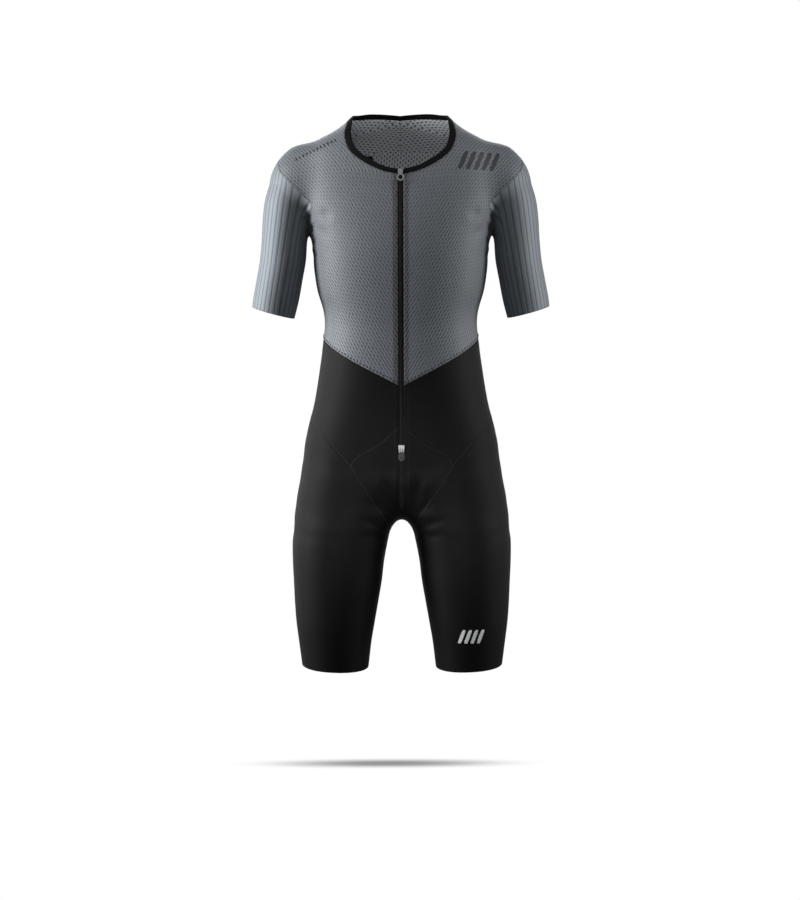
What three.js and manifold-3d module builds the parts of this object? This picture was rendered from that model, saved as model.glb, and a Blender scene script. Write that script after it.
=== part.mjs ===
// Short-sleeved cycling roadsuit, filled out as it is worn, hollow and open at neck, cuffs and hems.
// Millimetres, +Z up, -Y is the front, +X is the wearer's left.
// The origin lies midway between the two points where the shoulders meet the neck.
//
// The garment's outer face is one smooth surface: a torso, two arms and two legs, each given by level
// sections and blended where they meet. Every seam is a curve on that surface. Every panel is a grid
// between its seams, and its wall is made from the grid's points, moved inwards along the normals.
// The wearer's left half is worked out, and mirrored for the right.

import * as THREE from 'three';
import { mergeVertices } from 'three/addons/utils/BufferGeometryUtils.js';
import Module from 'manifold-3d';

// ---------------------------------------------------------------- driving sizes

const CLOTH_WALL = 1.2;      // jersey, sleeve and shorts fabric
const COLLAR_WALL = 1.8;     // folded binding round the neck
const COLLAR_RISE = 0.5;     // how far the binding stands proud of the jersey
const TAPE_WALL = 1.0;       // woven zip tape
const SEAM_GAP = 0.3;        // clear space between neighbouring pieces
const LAYER_GAP = 0.7;       // clear space between a panel and what lies under it
const ZIP_HALF_OPENING = 5;  // from the centre line to the jersey's edge beside the coil
const TAPE_HALF_WIDTH = 14.5;
const RIB_HEIGHT = 0.5;      // how far a sleeve rib stands above the valley beside it

// ---------------------------------------------------------------- level sections of the figure

// One row for each level: height z, centre x and y, half width, depth in front and behind the centre.
// cap and foot are how far the shape's rounded ends reach above its first row and below its last one,
// and lean is how far the rounded top leans towards the body for each millimetre up.
const SECTION_COLUMNS = ['z', 'x', 'y', 'width', 'front', 'back'];

const TORSO = {
  power: 2.35,
  cap: 60,
  foot: 86,
  lean: 0,
  rows: [
    [45, 0, 4, 60, 50, 54],
    [20, 0, 3, 76, 60, 60],
    [0, 0, 2, 97, 70, 68],
    [-13, 0, 2, 115, 76, 74],
    [-30, 0, 2, 146, 82, 82],
    [-48, 0, 2, 172, 89, 90],
    [-70, 0, 2, 182, 96, 97],
    [-100, 0, 1, 184, 103, 103],
    [-150, 0, 0, 172, 111, 106],
    [-190, 0, 0, 162, 115, 104],
    [-224, 0, 0, 157, 116, 101],
    [-260, 0, 0, 154.5, 114, 97],
    [-296, 0, -1, 149, 110, 94],
    [-331, 0, -2, 139, 106, 92],
    [-356, 0, -2, 136.5, 104, 92],
    [-385, 0, -2, 139.5, 104, 94],
    [-421, 0, -1, 144, 105, 99],
    [-494, 0, 0, 156, 106, 110],
    [-566, 0, 2, 173, 104, 117],
    [-610, 0, 4, 174, 99, 115],
  ],
};

const ARM = {
  power: 2.05,
  cap: 60,
  foot: 40,
  lean: 0.12,
  rows: [
    [-107, 190, 2, 43, 55, 56],
    [-136, 198, 1, 43.5, 57, 58],
    [-171, 203, -1, 43, 55, 56],
    [-190, 205.5, -2, 41.5, 54, 55],
    [-207, 207.5, -3, 40.5, 53, 54],
    [-242, 210.5, -5, 41, 51, 52],
    [-278, 217, -7, 41, 49, 50],
    [-313, 223.5, -9, 41, 47, 48],
    [-350, 230, -11, 38, 45, 46],
  ],
};

const LEG = {
  power: 2.1,
  cap: 60,
  foot: 40,
  lean: 0,
  rows: [
    [-560, 84, 4, 60, 60, 70],
    [-610, 88, 4, 80, 82, 96],
    [-650, 91, 4, 95, 89, 103],
    [-690, 92, 4, 101, 90, 99],
    [-705, 99, 4, 96, 90, 96],
    [-717, 104, 3, 91.5, 90, 94],
    [-732, 108.5, 3, 88, 89, 92],
    [-750, 112, 2, 87, 88, 91],
    [-787, 115.5, 1, 83.5, 86, 88],
    [-824, 117, 0, 80.5, 83, 84],
    [-862, 119.5, -1, 76.5, 79, 80],
    [-899, 121.5, -2, 72, 75, 75],
    [-937, 122.5, -2, 66.5, 70, 70],
    [-974, 122.5, -2, 62, 65, 65],
    [-1000, 122.5, -2, 59, 62, 62],
  ],
};

const ARMPIT_BLEND = 11;   // width of the fillet under the arm
const SHOULDER_BLEND = 40; // width of the fillet over the shoulder
const ARMPIT_Z = -185;     // below this level the arm's fillet is the narrow one
const SHOULDER_Z = -115;   // above this level it is the wide one
const CROTCH_BLEND = 16;   // width of the fillet between the legs
const HIP_BLEND = 32;      // width of the fillet between leg and torso
const BELOW_ARMS_Z = -450; // a level between the cuffs and the legs

// The largest folds, as soft troughs. Seen from the front or the back, each runs straight from x1, z1 to
// x2, z2 on both halves, and fades out at its ends.
const FOLD_COLUMNS = ['side', 'x1', 'z1', 'x2', 'z2', 'width', 'depth'];
const FOLDS = [
  ['front', 143, -150, 116, -172, 8, 2.4],
  ['front', 146, -178, 122, -208, 8, 2.0],
  ['front', 24, -700, 66, -655, 9, 2.2],
  ['front', 40, -712, 92, -690, 9, 1.8],
  ['front', 78, -618, 128, -600, 10, 1.4],
  ['back', 143, -148, 110, -176, 10, 2.4],
  ['back', 146, -184, 118, -214, 9, 1.8],
  ['back', 0, -352, 74, -340, 12, 2.0],
  ['back', 26, -702, 96, -682, 11, 2.6],
];

// ---------------------------------------------------------------- seams

// Each row is a point near the surface, and the axis along which it is brought onto the surface:
// x, y or z, or n for the shortest way.
const SEAMS = {
  neckline: [
    [5, -100, -92, 'y'],
    [28, -98, -87.5, 'y'],
    [46, -95, -80.5, 'y'],
    [63, -91, -71.3, 'y'],
    [76, -86, -62.5, 'y'],
    [86, -81, -53.5, 'y'],
    [93, -73, -41, 'y'],
    [97, -58, -23, 'n'],
    [94, -35, -6, 'n'],
    [91, -8, 3, 'n'],
    [88, 18, 5, 'n'],
    [78, 40, 7.5, 'n'],
    [58, 55, 9.5, 'n'],
    [31, 64, 9, 'n'],
    [0, 67.4, 7, 'y'],
  ],
  armholeFront: [
    [163, 0, -198, 'n'],
    [163, -14, -195, 'n'],
    [165, -27, -185, 'n'],
    [166, -38, -170, 'n'],
    [162, -49, -158, 'n'],
    [157, -57, -149, 'n'],
    [157, -61, -141, 'y'],
    [164, -62, -134, 'y'],
    [180, -57, -119, 'y'],
    [195, -48, -104, 'y'],
  ],
  armholeOver: [
    [195, -48, -104, 'y'],
    [206, -36, -89, 'n'],
    [211, -16, -74, 'n'],
    [209, 5, -66, 'n'],
    [204, 24, -70, 'n'],
    [197, 38, -77, 'n'],
  ],
  armholeYoke: [
    [197, 38, -77, 'n'],
    [184, 54, -90, 'n'],
    [174, 64, -103, 'n'],
  ],
  armholeBack: [
    [174, 64, -103, 'n'],
    [164, 65, -120, 'n'],
    [160, 61, -137, 'n'],
    [163, 51, -151, 'n'],
    [165, 42, -162, 'n'],
    [164, 31, -177, 'n'],
    [163, 20, -190, 'n'],
    [163, 10, -197, 'n'],
    [163, 0, -198, 'n'],
  ],
  sideTop: [
    [163, 0, -198, 'n'],
    [158, 2, -224, 'x'],
    [154, 5, -260, 'x'],
    [147, 6, -302, 'x'],
    [137, 7, -345, 'x'],
    [139, 8, -378, 'x'],
  ],
  sideLow: [
    [139, 8, -378, 'x'],
    [144, 8, -421, 'x'],
    [153, 8, -475, 'x'],
    [163, 8, -524, 'x'],
  ],
  frontEdgeTop: [
    [5, -108, -458, 'y'],
    [5, -106, -360, 'y'],
    [5, -116, -230, 'y'],
    [5, -108, -140, 'y'],
    [5, -100, -92, 'y'],
  ],
  frontEdgeLow: [
    [5, -110, -533, 'y'],
    [5, -108, -458, 'y'],
  ],
  crotchEdge: [
    [0, 0, -713, 'z'],
    [0, -40, -700, 'n'],
    [0, -56, -690, 'n'],
    [5, -70, -666, 'n'],
    [5, -84, -641, 'n'],
    [5, -93, -617, 'y'],
    [5, -106, -575, 'y'],
    [5, -110, -533, 'y'],
  ],
  centreBackYoke: [
    [0, 68, 3, 'y'],
    [0, 82, -22, 'y'],
    [0, 94, -48, 'y'],
  ],
  centreBack: [
    [0, 94, -48, 'y'],
    [0, 106, -120, 'y'],
    [0, 102, -220, 'y'],
    [0, 90, -320, 'y'],
    [0, 92, -366, 'y'],
  ],
  centreSeat: [
    [0, 92, -366, 'y'],
    [0, 108, -450, 'y'],
    [0, 118, -540, 'y'],
    [0, 110, -620, 'y'],
    [0, 82, -675, 'n'],
    [0, 45, -704, 'n'],
    [0, 0, -713, 'z'],
  ],
  yoke: [
    [0, 94, -48, 'y'],
    [50, 93, -50, 'y'],
    [110, 84, -66, 'y'],
    [174, 64, -103, 'n'],
  ],
  waistFront: [
    [5, -108, -458, 'y'],
    [38, -106, -441, 'y'],
    [94, -80, -412, 'y'],
    [125, -45, -389, 'n'],
    [139, 8, -378, 'x'],
  ],
  waistBack: [
    [0, 92, -366, 'y'],
    [60, 84, -368, 'y'],
    [112, 58, -372, 'n'],
    [139, 8, -378, 'x'],
  ],
  hip: [
    [91, -95, -602, 'y'],
    [110, -85, -581, 'y'],
    [132, -70, -556, 'y'],
    [152, -40, -534, 'n'],
    [163, 8, -524, 'x'],
  ],
  crotchTop: [
    [5, -110, -533, 'y'],
    [18, -108, -545, 'y'],
    [34, -106, -560, 'y'],
    [56, -104, -573, 'y'],
    [78, -100, -585, 'y'],
    [91, -95, -602, 'y'],
  ],
  crotchSide: [
    [20, 0, -731, 'x'],
    [27, -40, -718, 'n'],
    [42, -68, -685, 'n'],
    [62, -85, -650, 'n'],
    [91, -95, -602, 'y'],
  ],
  crotchUnder: [
    [0, 0, -713, 'z'],
    [10, 0, -718, 'n'],
    [20, 0, -731, 'x'],
  ],
  seat: [
    [20, 0, -731, 'x'],
    [30, 42, -717, 'n'],
    [52, 80, -678, 'n'],
    [92, 102, -625, 'n'],
    [135, 78, -570, 'n'],
    [156, 42, -537, 'n'],
    [163, 8, -524, 'x'],
  ],
};

// How many grid steps each seam is cut into. Neighbours share these steps, so their edges match.
const STEPS = {
  neckline: 11,
  armholeFront: 7,
  armholeOver: 11,
  armholeYoke: 3,
  armholeBack: 7,
  sideTop: 9,
  sideLow: 7,
  across: 10,
  hip: 5,
  crotchTop: 5,
  crotchSide: 8,
  crotchUnder: 5,
  seat: 12,
  sleeveRows: 9,
  legRows: 16,
};

const SLEEVE_GRADING = 1.5; // the sleeve's rows stand closer together towards the armhole

// Raw edges of sleeve and leg. lift is how much the outer side stands above the middle.
// x, y and z are its centre; width and depth are half sizes.
const CUFF = { x: 229, y: -10, z: -335, width: 38, depth: 46, lift: 10.5 };
const HEM = { x: 121, y: -2, z: -982, width: 61, depth: 64, lift: 3 };

// ---------------------------------------------------------------- the figure's surface

function makeSection(shape) {
  const last = shape.rows.length - 1;
  const slopes = shape.rows.map((row, i) => {
    const before = shape.rows[Math.max(i - 1, 0)];
    const after = shape.rows[Math.min(i + 1, last)];
    return row.map((_, c) => (after[c] - before[c]) / (after[0] - before[0]));
  });
  return (z) => {
    let i = 0;
    while (i < last - 1 && z < shape.rows[i + 1][0]) i += 1;
    const a = shape.rows[i];
    const b = shape.rows[i + 1];
    const span = b[0] - a[0];
    const t = Math.min(Math.max((z - a[0]) / span, 0), 1);
    const t2 = t * t;
    const t3 = t2 * t;
    const section = {};
    SECTION_COLUMNS.forEach((name, c) => {
      section[name] = (2 * t3 - 3 * t2 + 1) * a[c] + (t3 - 2 * t2 + t) * span * slopes[i][c]
        + (3 * t2 - 2 * t3) * b[c] + (t3 - t2) * span * slopes[i + 1][c];
    });
    return section;
  };
}

// How far a point lies outside a shape, measured away from the centre of its level section or,
// past its first or last row, from the middle of its rounded end.
function makeReach(shape) {
  const sectionAt = makeSection(shape);
  const top = shape.rows[0][0];
  const bottom = shape.rows[shape.rows.length - 1][0];
  return (p) => {
    const s = sectionAt(p[2]);
    const above = Math.max(p[2] - top, 0);
    const below = Math.max(bottom - p[2], 0);
    const dx = p[0] - s.x + shape.lean * above;
    const dy = p[1] - s.y;
    const depth = dy < 0 ? s.front : s.back;
    const level = (Math.abs(dx / s.width) ** shape.power
      + Math.abs(dy / depth) ** shape.power) ** (1 / shape.power);
    const scaled = Math.hypot(level, above / shape.cap, below / shape.foot);
    const radius = Math.hypot(dx, dy, above, below);
    return radius - radius / Math.max(scaled, 1e-6);
  };
}

const PROBE = 0.05;        // half the distance over which a slope is measured
const WALL_PROBE = 6;      // the same for the directions of walls, which turn evenly round tight corners
const LEAST_SLOPE = 0.2;   // the least slope that a reach is divided by

function gradient(field, p, probe = PROBE) {
  return [0, 1, 2].map((axis) => {
    const ahead = [...p];
    const behind = [...p];
    ahead[axis] += probe;
    behind[axis] -= probe;
    return (field(ahead) - field(behind)) / (2 * probe);
  });
}

// A reach divided by its own steepness is close to a true distance, which blends evenly.
function makeDistance(shape) {
  const reach = makeReach(shape);
  return (p) => reach(p) / Math.max(Math.hypot(...gradient(reach, p)), LEAST_SLOPE);
}

function blend(a, b, width) {
  const near = Math.max(width - Math.abs(a - b), 0) / width;
  return Math.min(a, b) - near * near * width / 4;
}

const folds = FOLDS.map((row) => Object.fromEntries(FOLD_COLUMNS.map((name, c) => [name, row[c]])));

// How deep the folds are at a point: a bell across each fold, and an arch along it.
function foldDepth([x, y, z]) {
  let depth = 0;
  folds.forEach((fold) => {
    if ((fold.side === 'front') !== (y < 0)) return;
    const length = Math.hypot(fold.x2 - fold.x1, fold.z2 - fold.z1);
    const ux = (fold.x2 - fold.x1) / length;
    const uz = (fold.z2 - fold.z1) / length;
    const along = ((x - fold.x1) * ux + (z - fold.z1) * uz) / length;
    const across = ((x - fold.x1) * uz - (z - fold.z1) * ux) / fold.width;
    if (along <= 0 || along >= 1 || Math.abs(across) > 3) return;
    depth += fold.depth * Math.exp(-across * across) * Math.sin(Math.PI * along) ** 2;
  });
  return depth;
}

const torsoDistance = makeDistance(TORSO);
const armDistance = makeDistance(ARM);
const legDistance = makeDistance(LEG);

function figure([x, y, z]) {
  const near = [Math.abs(x), y, z];
  const torso = torsoDistance(near);
  if (z > BELOW_ARMS_Z) {
    const height = THREE.MathUtils.smoothstep(z, ARMPIT_Z, SHOULDER_Z);
    const width = THREE.MathUtils.lerp(ARMPIT_BLEND, SHOULDER_BLEND, height);
    return blend(torso, armDistance(near), width) + foldDepth(near);
  }
  const legs = blend(legDistance(near), legDistance([-near[0], y, z]), CROTCH_BLEND);
  return blend(torso, legs, HIP_BLEND) + foldDepth(near);
}

// Brings a point onto the surface by the shortest way.
function project(p, rounds = 4) {
  let q = p;
  for (let i = 0; i < rounds; i += 1) {
    const g = gradient(figure, q);
    const step = figure(q) / (g[0] ** 2 + g[1] ** 2 + g[2] ** 2);
    q = q.map((value, axis) => value - step * g[axis]);
  }
  return q;
}

const SETTLE = { rounds: 12, leastSlope: 0.3, longestStep: 8 };

// Brings a seam's row onto the surface along its own axis.
function settle([x, y, z, along]) {
  if (along === 'n') return project([x, y, z]);
  const axis = 'xyz'.indexOf(along);
  const q = [x, y, z];
  for (let i = 0; i < SETTLE.rounds; i += 1) {
    const slope = gradient(figure, q)[axis];
    const step = figure(q) / (Math.sign(slope) * Math.max(Math.abs(slope), SETTLE.leastSlope));
    q[axis] -= THREE.MathUtils.clamp(step, -SETTLE.longestStep, SETTLE.longestStep);
  }
  return q;
}

function normalAt(p) {
  return new THREE.Vector3(...gradient(figure, p, WALL_PROBE)).normalize();
}

// ---------------------------------------------------------------- seams and grids

// Points at even steps along a smooth curve through a seam's rows.
function seamPoints(rows, steps) {
  const knots = rows.map((row) => new THREE.Vector3(...settle(row)));
  const curve = new THREE.CatmullRomCurve3(knots, false, 'centripetal');
  curve.arcLengthDivisions = 400;
  return curve.getSpacedPoints(steps).map((v) => project([Math.max(v.x, 0), v.y, v.z]));
}

function mix(a, b, t) {
  return a.map((value, axis) => value + (b[axis] - value) * t);
}

const EVENING_PULL = 0.7;   // how much more a grid point is drawn to its farther neighbours

function distance(p, q) {
  return Math.hypot(q[0] - p[0], q[1] - p[1], q[2] - p[2]);
}

// A point moved half way to the middle of its neighbours, where a farther neighbour pulls more.
function evenPoint(p, neighbours) {
  const pulls = neighbours.map((q) => distance(p, q) ** EVENING_PULL);
  const total = pulls.reduce((sum, pull) => sum + pull, 0);
  const middle = p.map((_, axis) => neighbours.reduce((sum, q, i) => sum + q[axis] * pulls[i], 0) / total);
  return mix(p, middle, 0.5);
}

// A grid stretched between four edges, evened out on the surface with its edges held.
// first and last are the rows at both ends; start and end are the columns at both sides.
function stretchGrid(first, last, start, end, evenings = 60) {
  const rows = start.length - 1;
  const columns = first.length - 1;
  let grid = start.map((_, r) => first.map((__, c) => {
    const v = r / rows;
    const u = c / columns;
    const across = mix(start[r], end[r], u);
    const along = mix(first[c], last[c], v);
    const corners = mix(mix(first[0], first[columns], u), mix(last[0], last[columns], u), v);
    return across.map((value, axis) => value + along[axis] - corners[axis]);
  }));
  grid = holdEdges(grid.map((row) => row.map((p) => project(p, 6))), first, last, start, end);
  for (let i = 0; i < evenings; i += 1) {
    grid = holdEdges(grid.map((row, r) => row.map((p, c) => {
      if (r === 0 || c === 0 || r === rows || c === columns) return p;
      return project(evenPoint(p, [grid[r - 1][c], grid[r + 1][c], row[c - 1], row[c + 1]]), 1);
    })), first, last, start, end);
  }
  return grid.map((row, r) => row.map((p, c) => {
    const edge = r === 0 || c === 0 || r === rows || c === columns;
    return edge ? p : project(p);
  }));
}

function holdEdges(grid, first, last, start, end) {
  const rows = grid.length - 1;
  return grid.map((row, r) => {
    if (r === 0) return first;
    if (r === rows) return last;
    return [start[r], ...row.slice(1, -1), end[r]];
  });
}

// A closed tube round an arm or leg, between two loops with the same number of points. shares places
// the rows along it. A first layout turns and sinks evenly from loop to loop round the level sections.
function stretchTube(shape, first, last, shares, evenings = 16) {
  const count = first.length;
  const rows = shares.length - 1;
  const sectionAt = makeSection(shape);
  const depthOf = (s, front) => (front ? s.front : s.back);
  const turnOf = ([x, y, z]) => {
    const s = sectionAt(z);
    return Math.atan2((y - s.y) / depthOf(s, y < s.y), (x - s.x) / s.width);
  };
  const place = (p, q, share) => {
    const swing = turnOf(q) - turnOf(p);
    const turn = turnOf(p) + (swing - 2 * Math.PI * Math.round(swing / (2 * Math.PI))) * share;
    const z = THREE.MathUtils.lerp(p[2], q[2], share);
    const s = sectionAt(z);
    const depth = depthOf(s, Math.sin(turn) < 0);
    return project([s.x + s.width * Math.cos(turn), s.y + depth * Math.sin(turn), z], 6);
  };
  let grid = shares.map((share) => first.map((p, c) => place(p, last[c], share)));
  grid[0] = first;
  grid[rows] = last;
  for (let i = 0; i < evenings; i += 1) {
    grid = grid.map((row, r) => row.map((p, c) => {
      if (r === 0 || r === rows) return p;
      const share = (shares[r] - shares[r - 1]) / (shares[r + 1] - shares[r - 1]);
      const along = mix(grid[r - 1][c], grid[r + 1][c], share);
      const around = mix(row[(c + 1) % count], row[(c + count - 1) % count], 0.5);
      return project(mix(along, around, 0.5), 1);
    }));
  }
  return grid;
}

// Shares from 0 to 1 in the given number of steps, closer together at the start where power is over 1.
function gradedShares(steps, power = 1) {
  return Array.from({ length: steps + 1 }, (_, i) => (i / steps) ** power);
}

// ---------------------------------------------------------------- walls

function mirrorPoint([x, y, z]) {
  return [-x, y, z];
}

// Moves the grid's edge points into the panel by half the seam gap, with mitred corners.
function insetGrid(grid, closed = false) {
  const rows = grid.length - 1;
  const count = grid[0].length;
  return grid.map((row, r) => row.map((p, c) => {
    const normal = normalAt(p);
    const move = new THREE.Vector3();
    const inward = (before, after, inside) => {
      const tangent = direction(before, p).add(direction(p, after));
      const side = tangent.clone().normalize().cross(normal).normalize();
      const sign = Math.sign(side.dot(direction(p, inside)));
      const mitre = before === p || after === p ? 1 : Math.max(tangent.length() / 2, 0.4);
      move.addScaledVector(side, sign * SEAM_GAP / 2 / mitre);
    };
    const left = closed ? row[(c + count - 1) % count] : row[Math.max(c - 1, 0)];
    const right = closed ? row[(c + 1) % count] : row[Math.min(c + 1, count - 1)];
    if (r === 0) inward(left, right, grid[1][c]);
    if (r === rows) inward(left, right, grid[rows - 1][c]);
    if (!closed && (c === 0 || c === count - 1)) {
      inward(grid[Math.max(r - 1, 0)][c], grid[Math.min(r + 1, rows)][c], row[c === 0 ? 1 : c - 1]);
    }
    return new THREE.Vector3(...p).add(move).toArray();
  }));
}

function direction(from, to) {
  return new THREE.Vector3(...to).sub(new THREE.Vector3(...from)).normalize();
}

// The closed wall of a grid: an outer and an inner face, joined round the rim.
// outer and inner give each point's distance from the surface, outwards positive.
function wallGeometry(grid, { closed = false, outer = () => 0, inner = () => -CLOTH_WALL } = {}) {
  const rows = grid.length;
  const columns = grid[0].length;
  const positions = [];
  [outer, inner].forEach((height) => {
    grid.forEach((row, r) => row.forEach((p, c) => {
      const n = normalAt(p);
      positions.push(...new THREE.Vector3(...p).addScaledVector(n, height(r, c)).toArray());
    }));
  });
  const index = [];
  const face = rows * columns;
  const at = (r, c, side) => side * face + r * columns + (c % columns);
  const quad = (a, b, c, d) => index.push(a, b, c, a, c, d);
  const spans = closed ? columns : columns - 1;
  for (let r = 0; r < rows - 1; r += 1) {
    for (let c = 0; c < spans; c += 1) {
      quad(at(r, c, 0), at(r, c + 1, 0), at(r + 1, c + 1, 0), at(r + 1, c, 0));
      quad(at(r, c, 1), at(r + 1, c, 1), at(r + 1, c + 1, 1), at(r, c + 1, 1));
    }
  }
  for (let c = 0; c < spans; c += 1) {
    quad(at(0, c, 1), at(0, c + 1, 1), at(0, c + 1, 0), at(0, c, 0));
    quad(at(rows - 1, c, 0), at(rows - 1, c + 1, 0), at(rows - 1, c + 1, 1), at(rows - 1, c, 1));
  }
  if (!closed) {
    for (let r = 0; r < rows - 1; r += 1) {
      quad(at(r, 0, 0), at(r + 1, 0, 0), at(r + 1, 0, 1), at(r, 0, 1));
      quad(at(r, spans, 1), at(r + 1, spans, 1), at(r + 1, spans, 0), at(r, spans, 0));
    }
  }
  const geometry = new THREE.BufferGeometry();
  geometry.setAttribute('position', new THREE.Float32BufferAttribute(positions, 3));
  geometry.setIndex(outwardIndex(positions, index));
  return geometry;
}

// Turns every triangle round if the enclosed volume comes out negative.
function outwardIndex(positions, index) {
  const corner = (i) => new THREE.Vector3().fromArray(positions, 3 * i);
  let volume = 0;
  for (let i = 0; i < index.length; i += 3) {
    volume += corner(index[i]).dot(corner(index[i + 1]).cross(corner(index[i + 2])));
  }
  if (volume > 0) return index;
  const turned = [];
  for (let i = 0; i < index.length; i += 3) turned.push(index[i], index[i + 2], index[i + 1]);
  return turned;
}

// ---------------------------------------------------------------- materials

function material(color, roughness, metalness = 0) {
  return new THREE.MeshStandardMaterial({ color, roughness, metalness });
}

const FINISH = {
  mesh: () => material(0x74797d, 0.75),
  ribbed: () => material(0x83888c, 0.55),
  lycra: () => material(0x1a181a, 0.6),
  binding: () => material(0x141315, 0.8),
  tape: () => material(0x1c1c1f, 0.85),
  coil: () => material(0x0d0d0f, 0.5),
  metal: () => material(0xa8abae, 0.35, 0.9),
  tab: () => material(0x2b2a2d, 0.6),
};

const suit = new THREE.Group();

function addPiece(name, geometry, finish) {
  const mesh = new THREE.Mesh(geometry, finish());
  mesh.name = name;
  suit.add(mesh);
  return mesh;
}

// ---------------------------------------------------------------- shared seams

const edge = {};
['neckline', 'armholeFront', 'armholeOver', 'armholeYoke', 'armholeBack', 'sideTop', 'sideLow', 'hip',
  'crotchTop', 'crotchSide', 'crotchUnder', 'seat'].forEach((name) => {
  edge[name] = seamPoints(SEAMS[name], STEPS[name]);
});
edge.yoke = seamPoints(SEAMS.yoke, STEPS.across);
edge.waistFront = seamPoints(SEAMS.waistFront, STEPS.across);
edge.waistBack = seamPoints(SEAMS.waistBack, STEPS.across);
edge.centreBackYoke = seamPoints(SEAMS.centreBackYoke, STEPS.armholeYoke);
edge.frontEdgeTop = seamPoints(SEAMS.frontEdgeTop, STEPS.sideTop + STEPS.armholeFront);
edge.frontEdgeLow = seamPoints(SEAMS.frontEdgeLow, STEPS.sideLow);
edge.crotchEdge = seamPoints(SEAMS.crotchEdge, STEPS.crotchSide);
edge.centreBack = seamPoints(SEAMS.centreBack, STEPS.armholeBack + STEPS.sideTop);
edge.centreSeat = seamPoints(SEAMS.centreSeat, STEPS.sideLow + STEPS.seat);

function chain(...parts) {
  return parts.reduce((line, part) => [...line, ...part.slice(1)]);
}

function reversed(line) {
  return [...line].reverse();
}

// Puts extra points halfway along each step of a seam, on the straight line between its ends.
function halved(line) {
  return line.flatMap((p, i) => (i === 0 ? [p] : [mix(line[i - 1], p, 0.5), p]));
}

// ---------------------------------------------------------------- panels

// Adds a panel on the wearer's left and its mirror image on the right.
function addPair(name, grid, finish, options = {}) {
  const inset = insetGrid(grid, options.closed);
  addPiece(`${name}_left`, wallGeometry(inset, options), finish);
  const mirrored = inset.map((row) => row.map(mirrorPoint));
  addPiece(`${name}_right`, wallGeometry(mirrored, options), finish);
}

// Joins a half grid, whose first column lies on the centre line, to its mirror image.
function bothHalves(half) {
  return half.map((row) => [...row.slice(1).reverse().map(mirrorPoint), ...row]);
}

const FRONT_EVENINGS = 8;     // few, which keeps the rows clear of the hollow neck seam

// Jersey front: from the waist seam up the zip, round the neck and over the shoulder to the yoke seam.
function makeFronts() {
  const inner = chain(edge.frontEdgeTop, edge.neckline, edge.centreBackYoke);
  const outer = chain(reversed(edge.sideTop), edge.armholeFront, edge.armholeOver, edge.armholeYoke);
  addPair('front', stretchGrid(edge.waistFront, edge.yoke, inner, outer, FRONT_EVENINGS), FINISH.mesh);
}

function makeBack() {
  const outer = chain(edge.armholeBack, edge.sideTop);
  const half = stretchGrid(edge.yoke, edge.waistBack, edge.centreBack, outer);
  addPiece('back', wallGeometry(insetGrid(bothHalves(half))), FINISH.mesh);
}

function makeLowerFronts() {
  const bottom = chain(edge.crotchTop, edge.hip);
  const grid = stretchGrid(edge.waistFront, bottom, reversed(edge.frontEdgeLow), edge.sideLow);
  addPair('lower_front', grid, FINISH.lycra);
}

function makeCrotch() {
  const inner = reversed(edge.crotchEdge);
  const outer = reversed(edge.crotchSide);
  addPair('crotch', stretchGrid(edge.crotchTop, edge.crotchUnder, inner, outer), FINISH.lycra);
}

function makeSeat() {
  const under = halved(edge.crotchUnder);
  const outer = chain(edge.sideLow, reversed(edge.seat));
  const half = stretchGrid(edge.waistBack, under, edge.centreSeat, outer);
  addPiece('seat', wallGeometry(insetGrid(bothHalves(half))), FINISH.lycra);
}

// A raw edge: a tilted oval, brought onto the surface. turns lists each point's share of a full turn,
// from the side facing away from the body, towards the front.
function rawEdge({ x, y, z, width, depth, lift }, turns) {
  return turns.map((turn) => {
    const angle = 2 * Math.PI * turn;
    const out = Math.cos(angle);
    return project([x + width * out, y - depth * Math.sin(angle), z + lift * out]);
  });
}

function evenTurns(from, to, steps) {
  return Array.from({ length: steps }, (_, i) => from + (to - from) * i / steps);
}

function makeLegs() {
  const loop = chain(reversed(edge.hip), reversed(edge.crotchSide), edge.seat).slice(0, -1);
  const turns = [...evenTurns(0, 0.5, STEPS.hip + STEPS.crotchSide), ...evenTurns(0.5, 1, STEPS.seat)];
  const grid = stretchTube(LEG, loop, rawEdge(HEM, turns), gradedShares(STEPS.legRows));
  addPair('leg', grid, FINISH.lycra, { closed: true });
}

// Each sleeve's outer face rises to a rib and falls to a valley at every other grid line.
function makeSleeves() {
  const loop = chain(edge.armholeFront, edge.armholeOver, edge.armholeYoke, edge.armholeBack);
  const top = halved(loop).slice(0, -1);
  const turns = evenTurns(0.5, -0.5, top.length);
  const outer = (r, c) => (c % 2 === 0 ? 0.5 : -0.5) * RIB_HEIGHT;
  const shares = gradedShares(STEPS.sleeveRows, SLEEVE_GRADING);
  const grid = stretchTube(ARM, top, rawEdge(CUFF, turns), shares);
  addPair('sleeve', grid, FINISH.ribbed, { closed: true, outer });
}

// ---------------------------------------------------------------- neck binding and zip

// The binding's width at the zip, at the side of the neck and at the centre back.
const COLLAR_WIDTH = { front: 8.5, side: 12, back: 9.5, sideFromStep: 4, sideToStep: 6 };

function collarWidth(step) {
  const { front, side, back, sideFromStep, sideToStep } = COLLAR_WIDTH;
  const { lerp, clamp } = THREE.MathUtils;
  const turned = clamp((step - sideToStep) / (STEPS.neckline - sideToStep), 0, 1);
  return lerp(lerp(front, side, Math.min(step / sideFromStep, 1)), back, turned);
}

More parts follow.
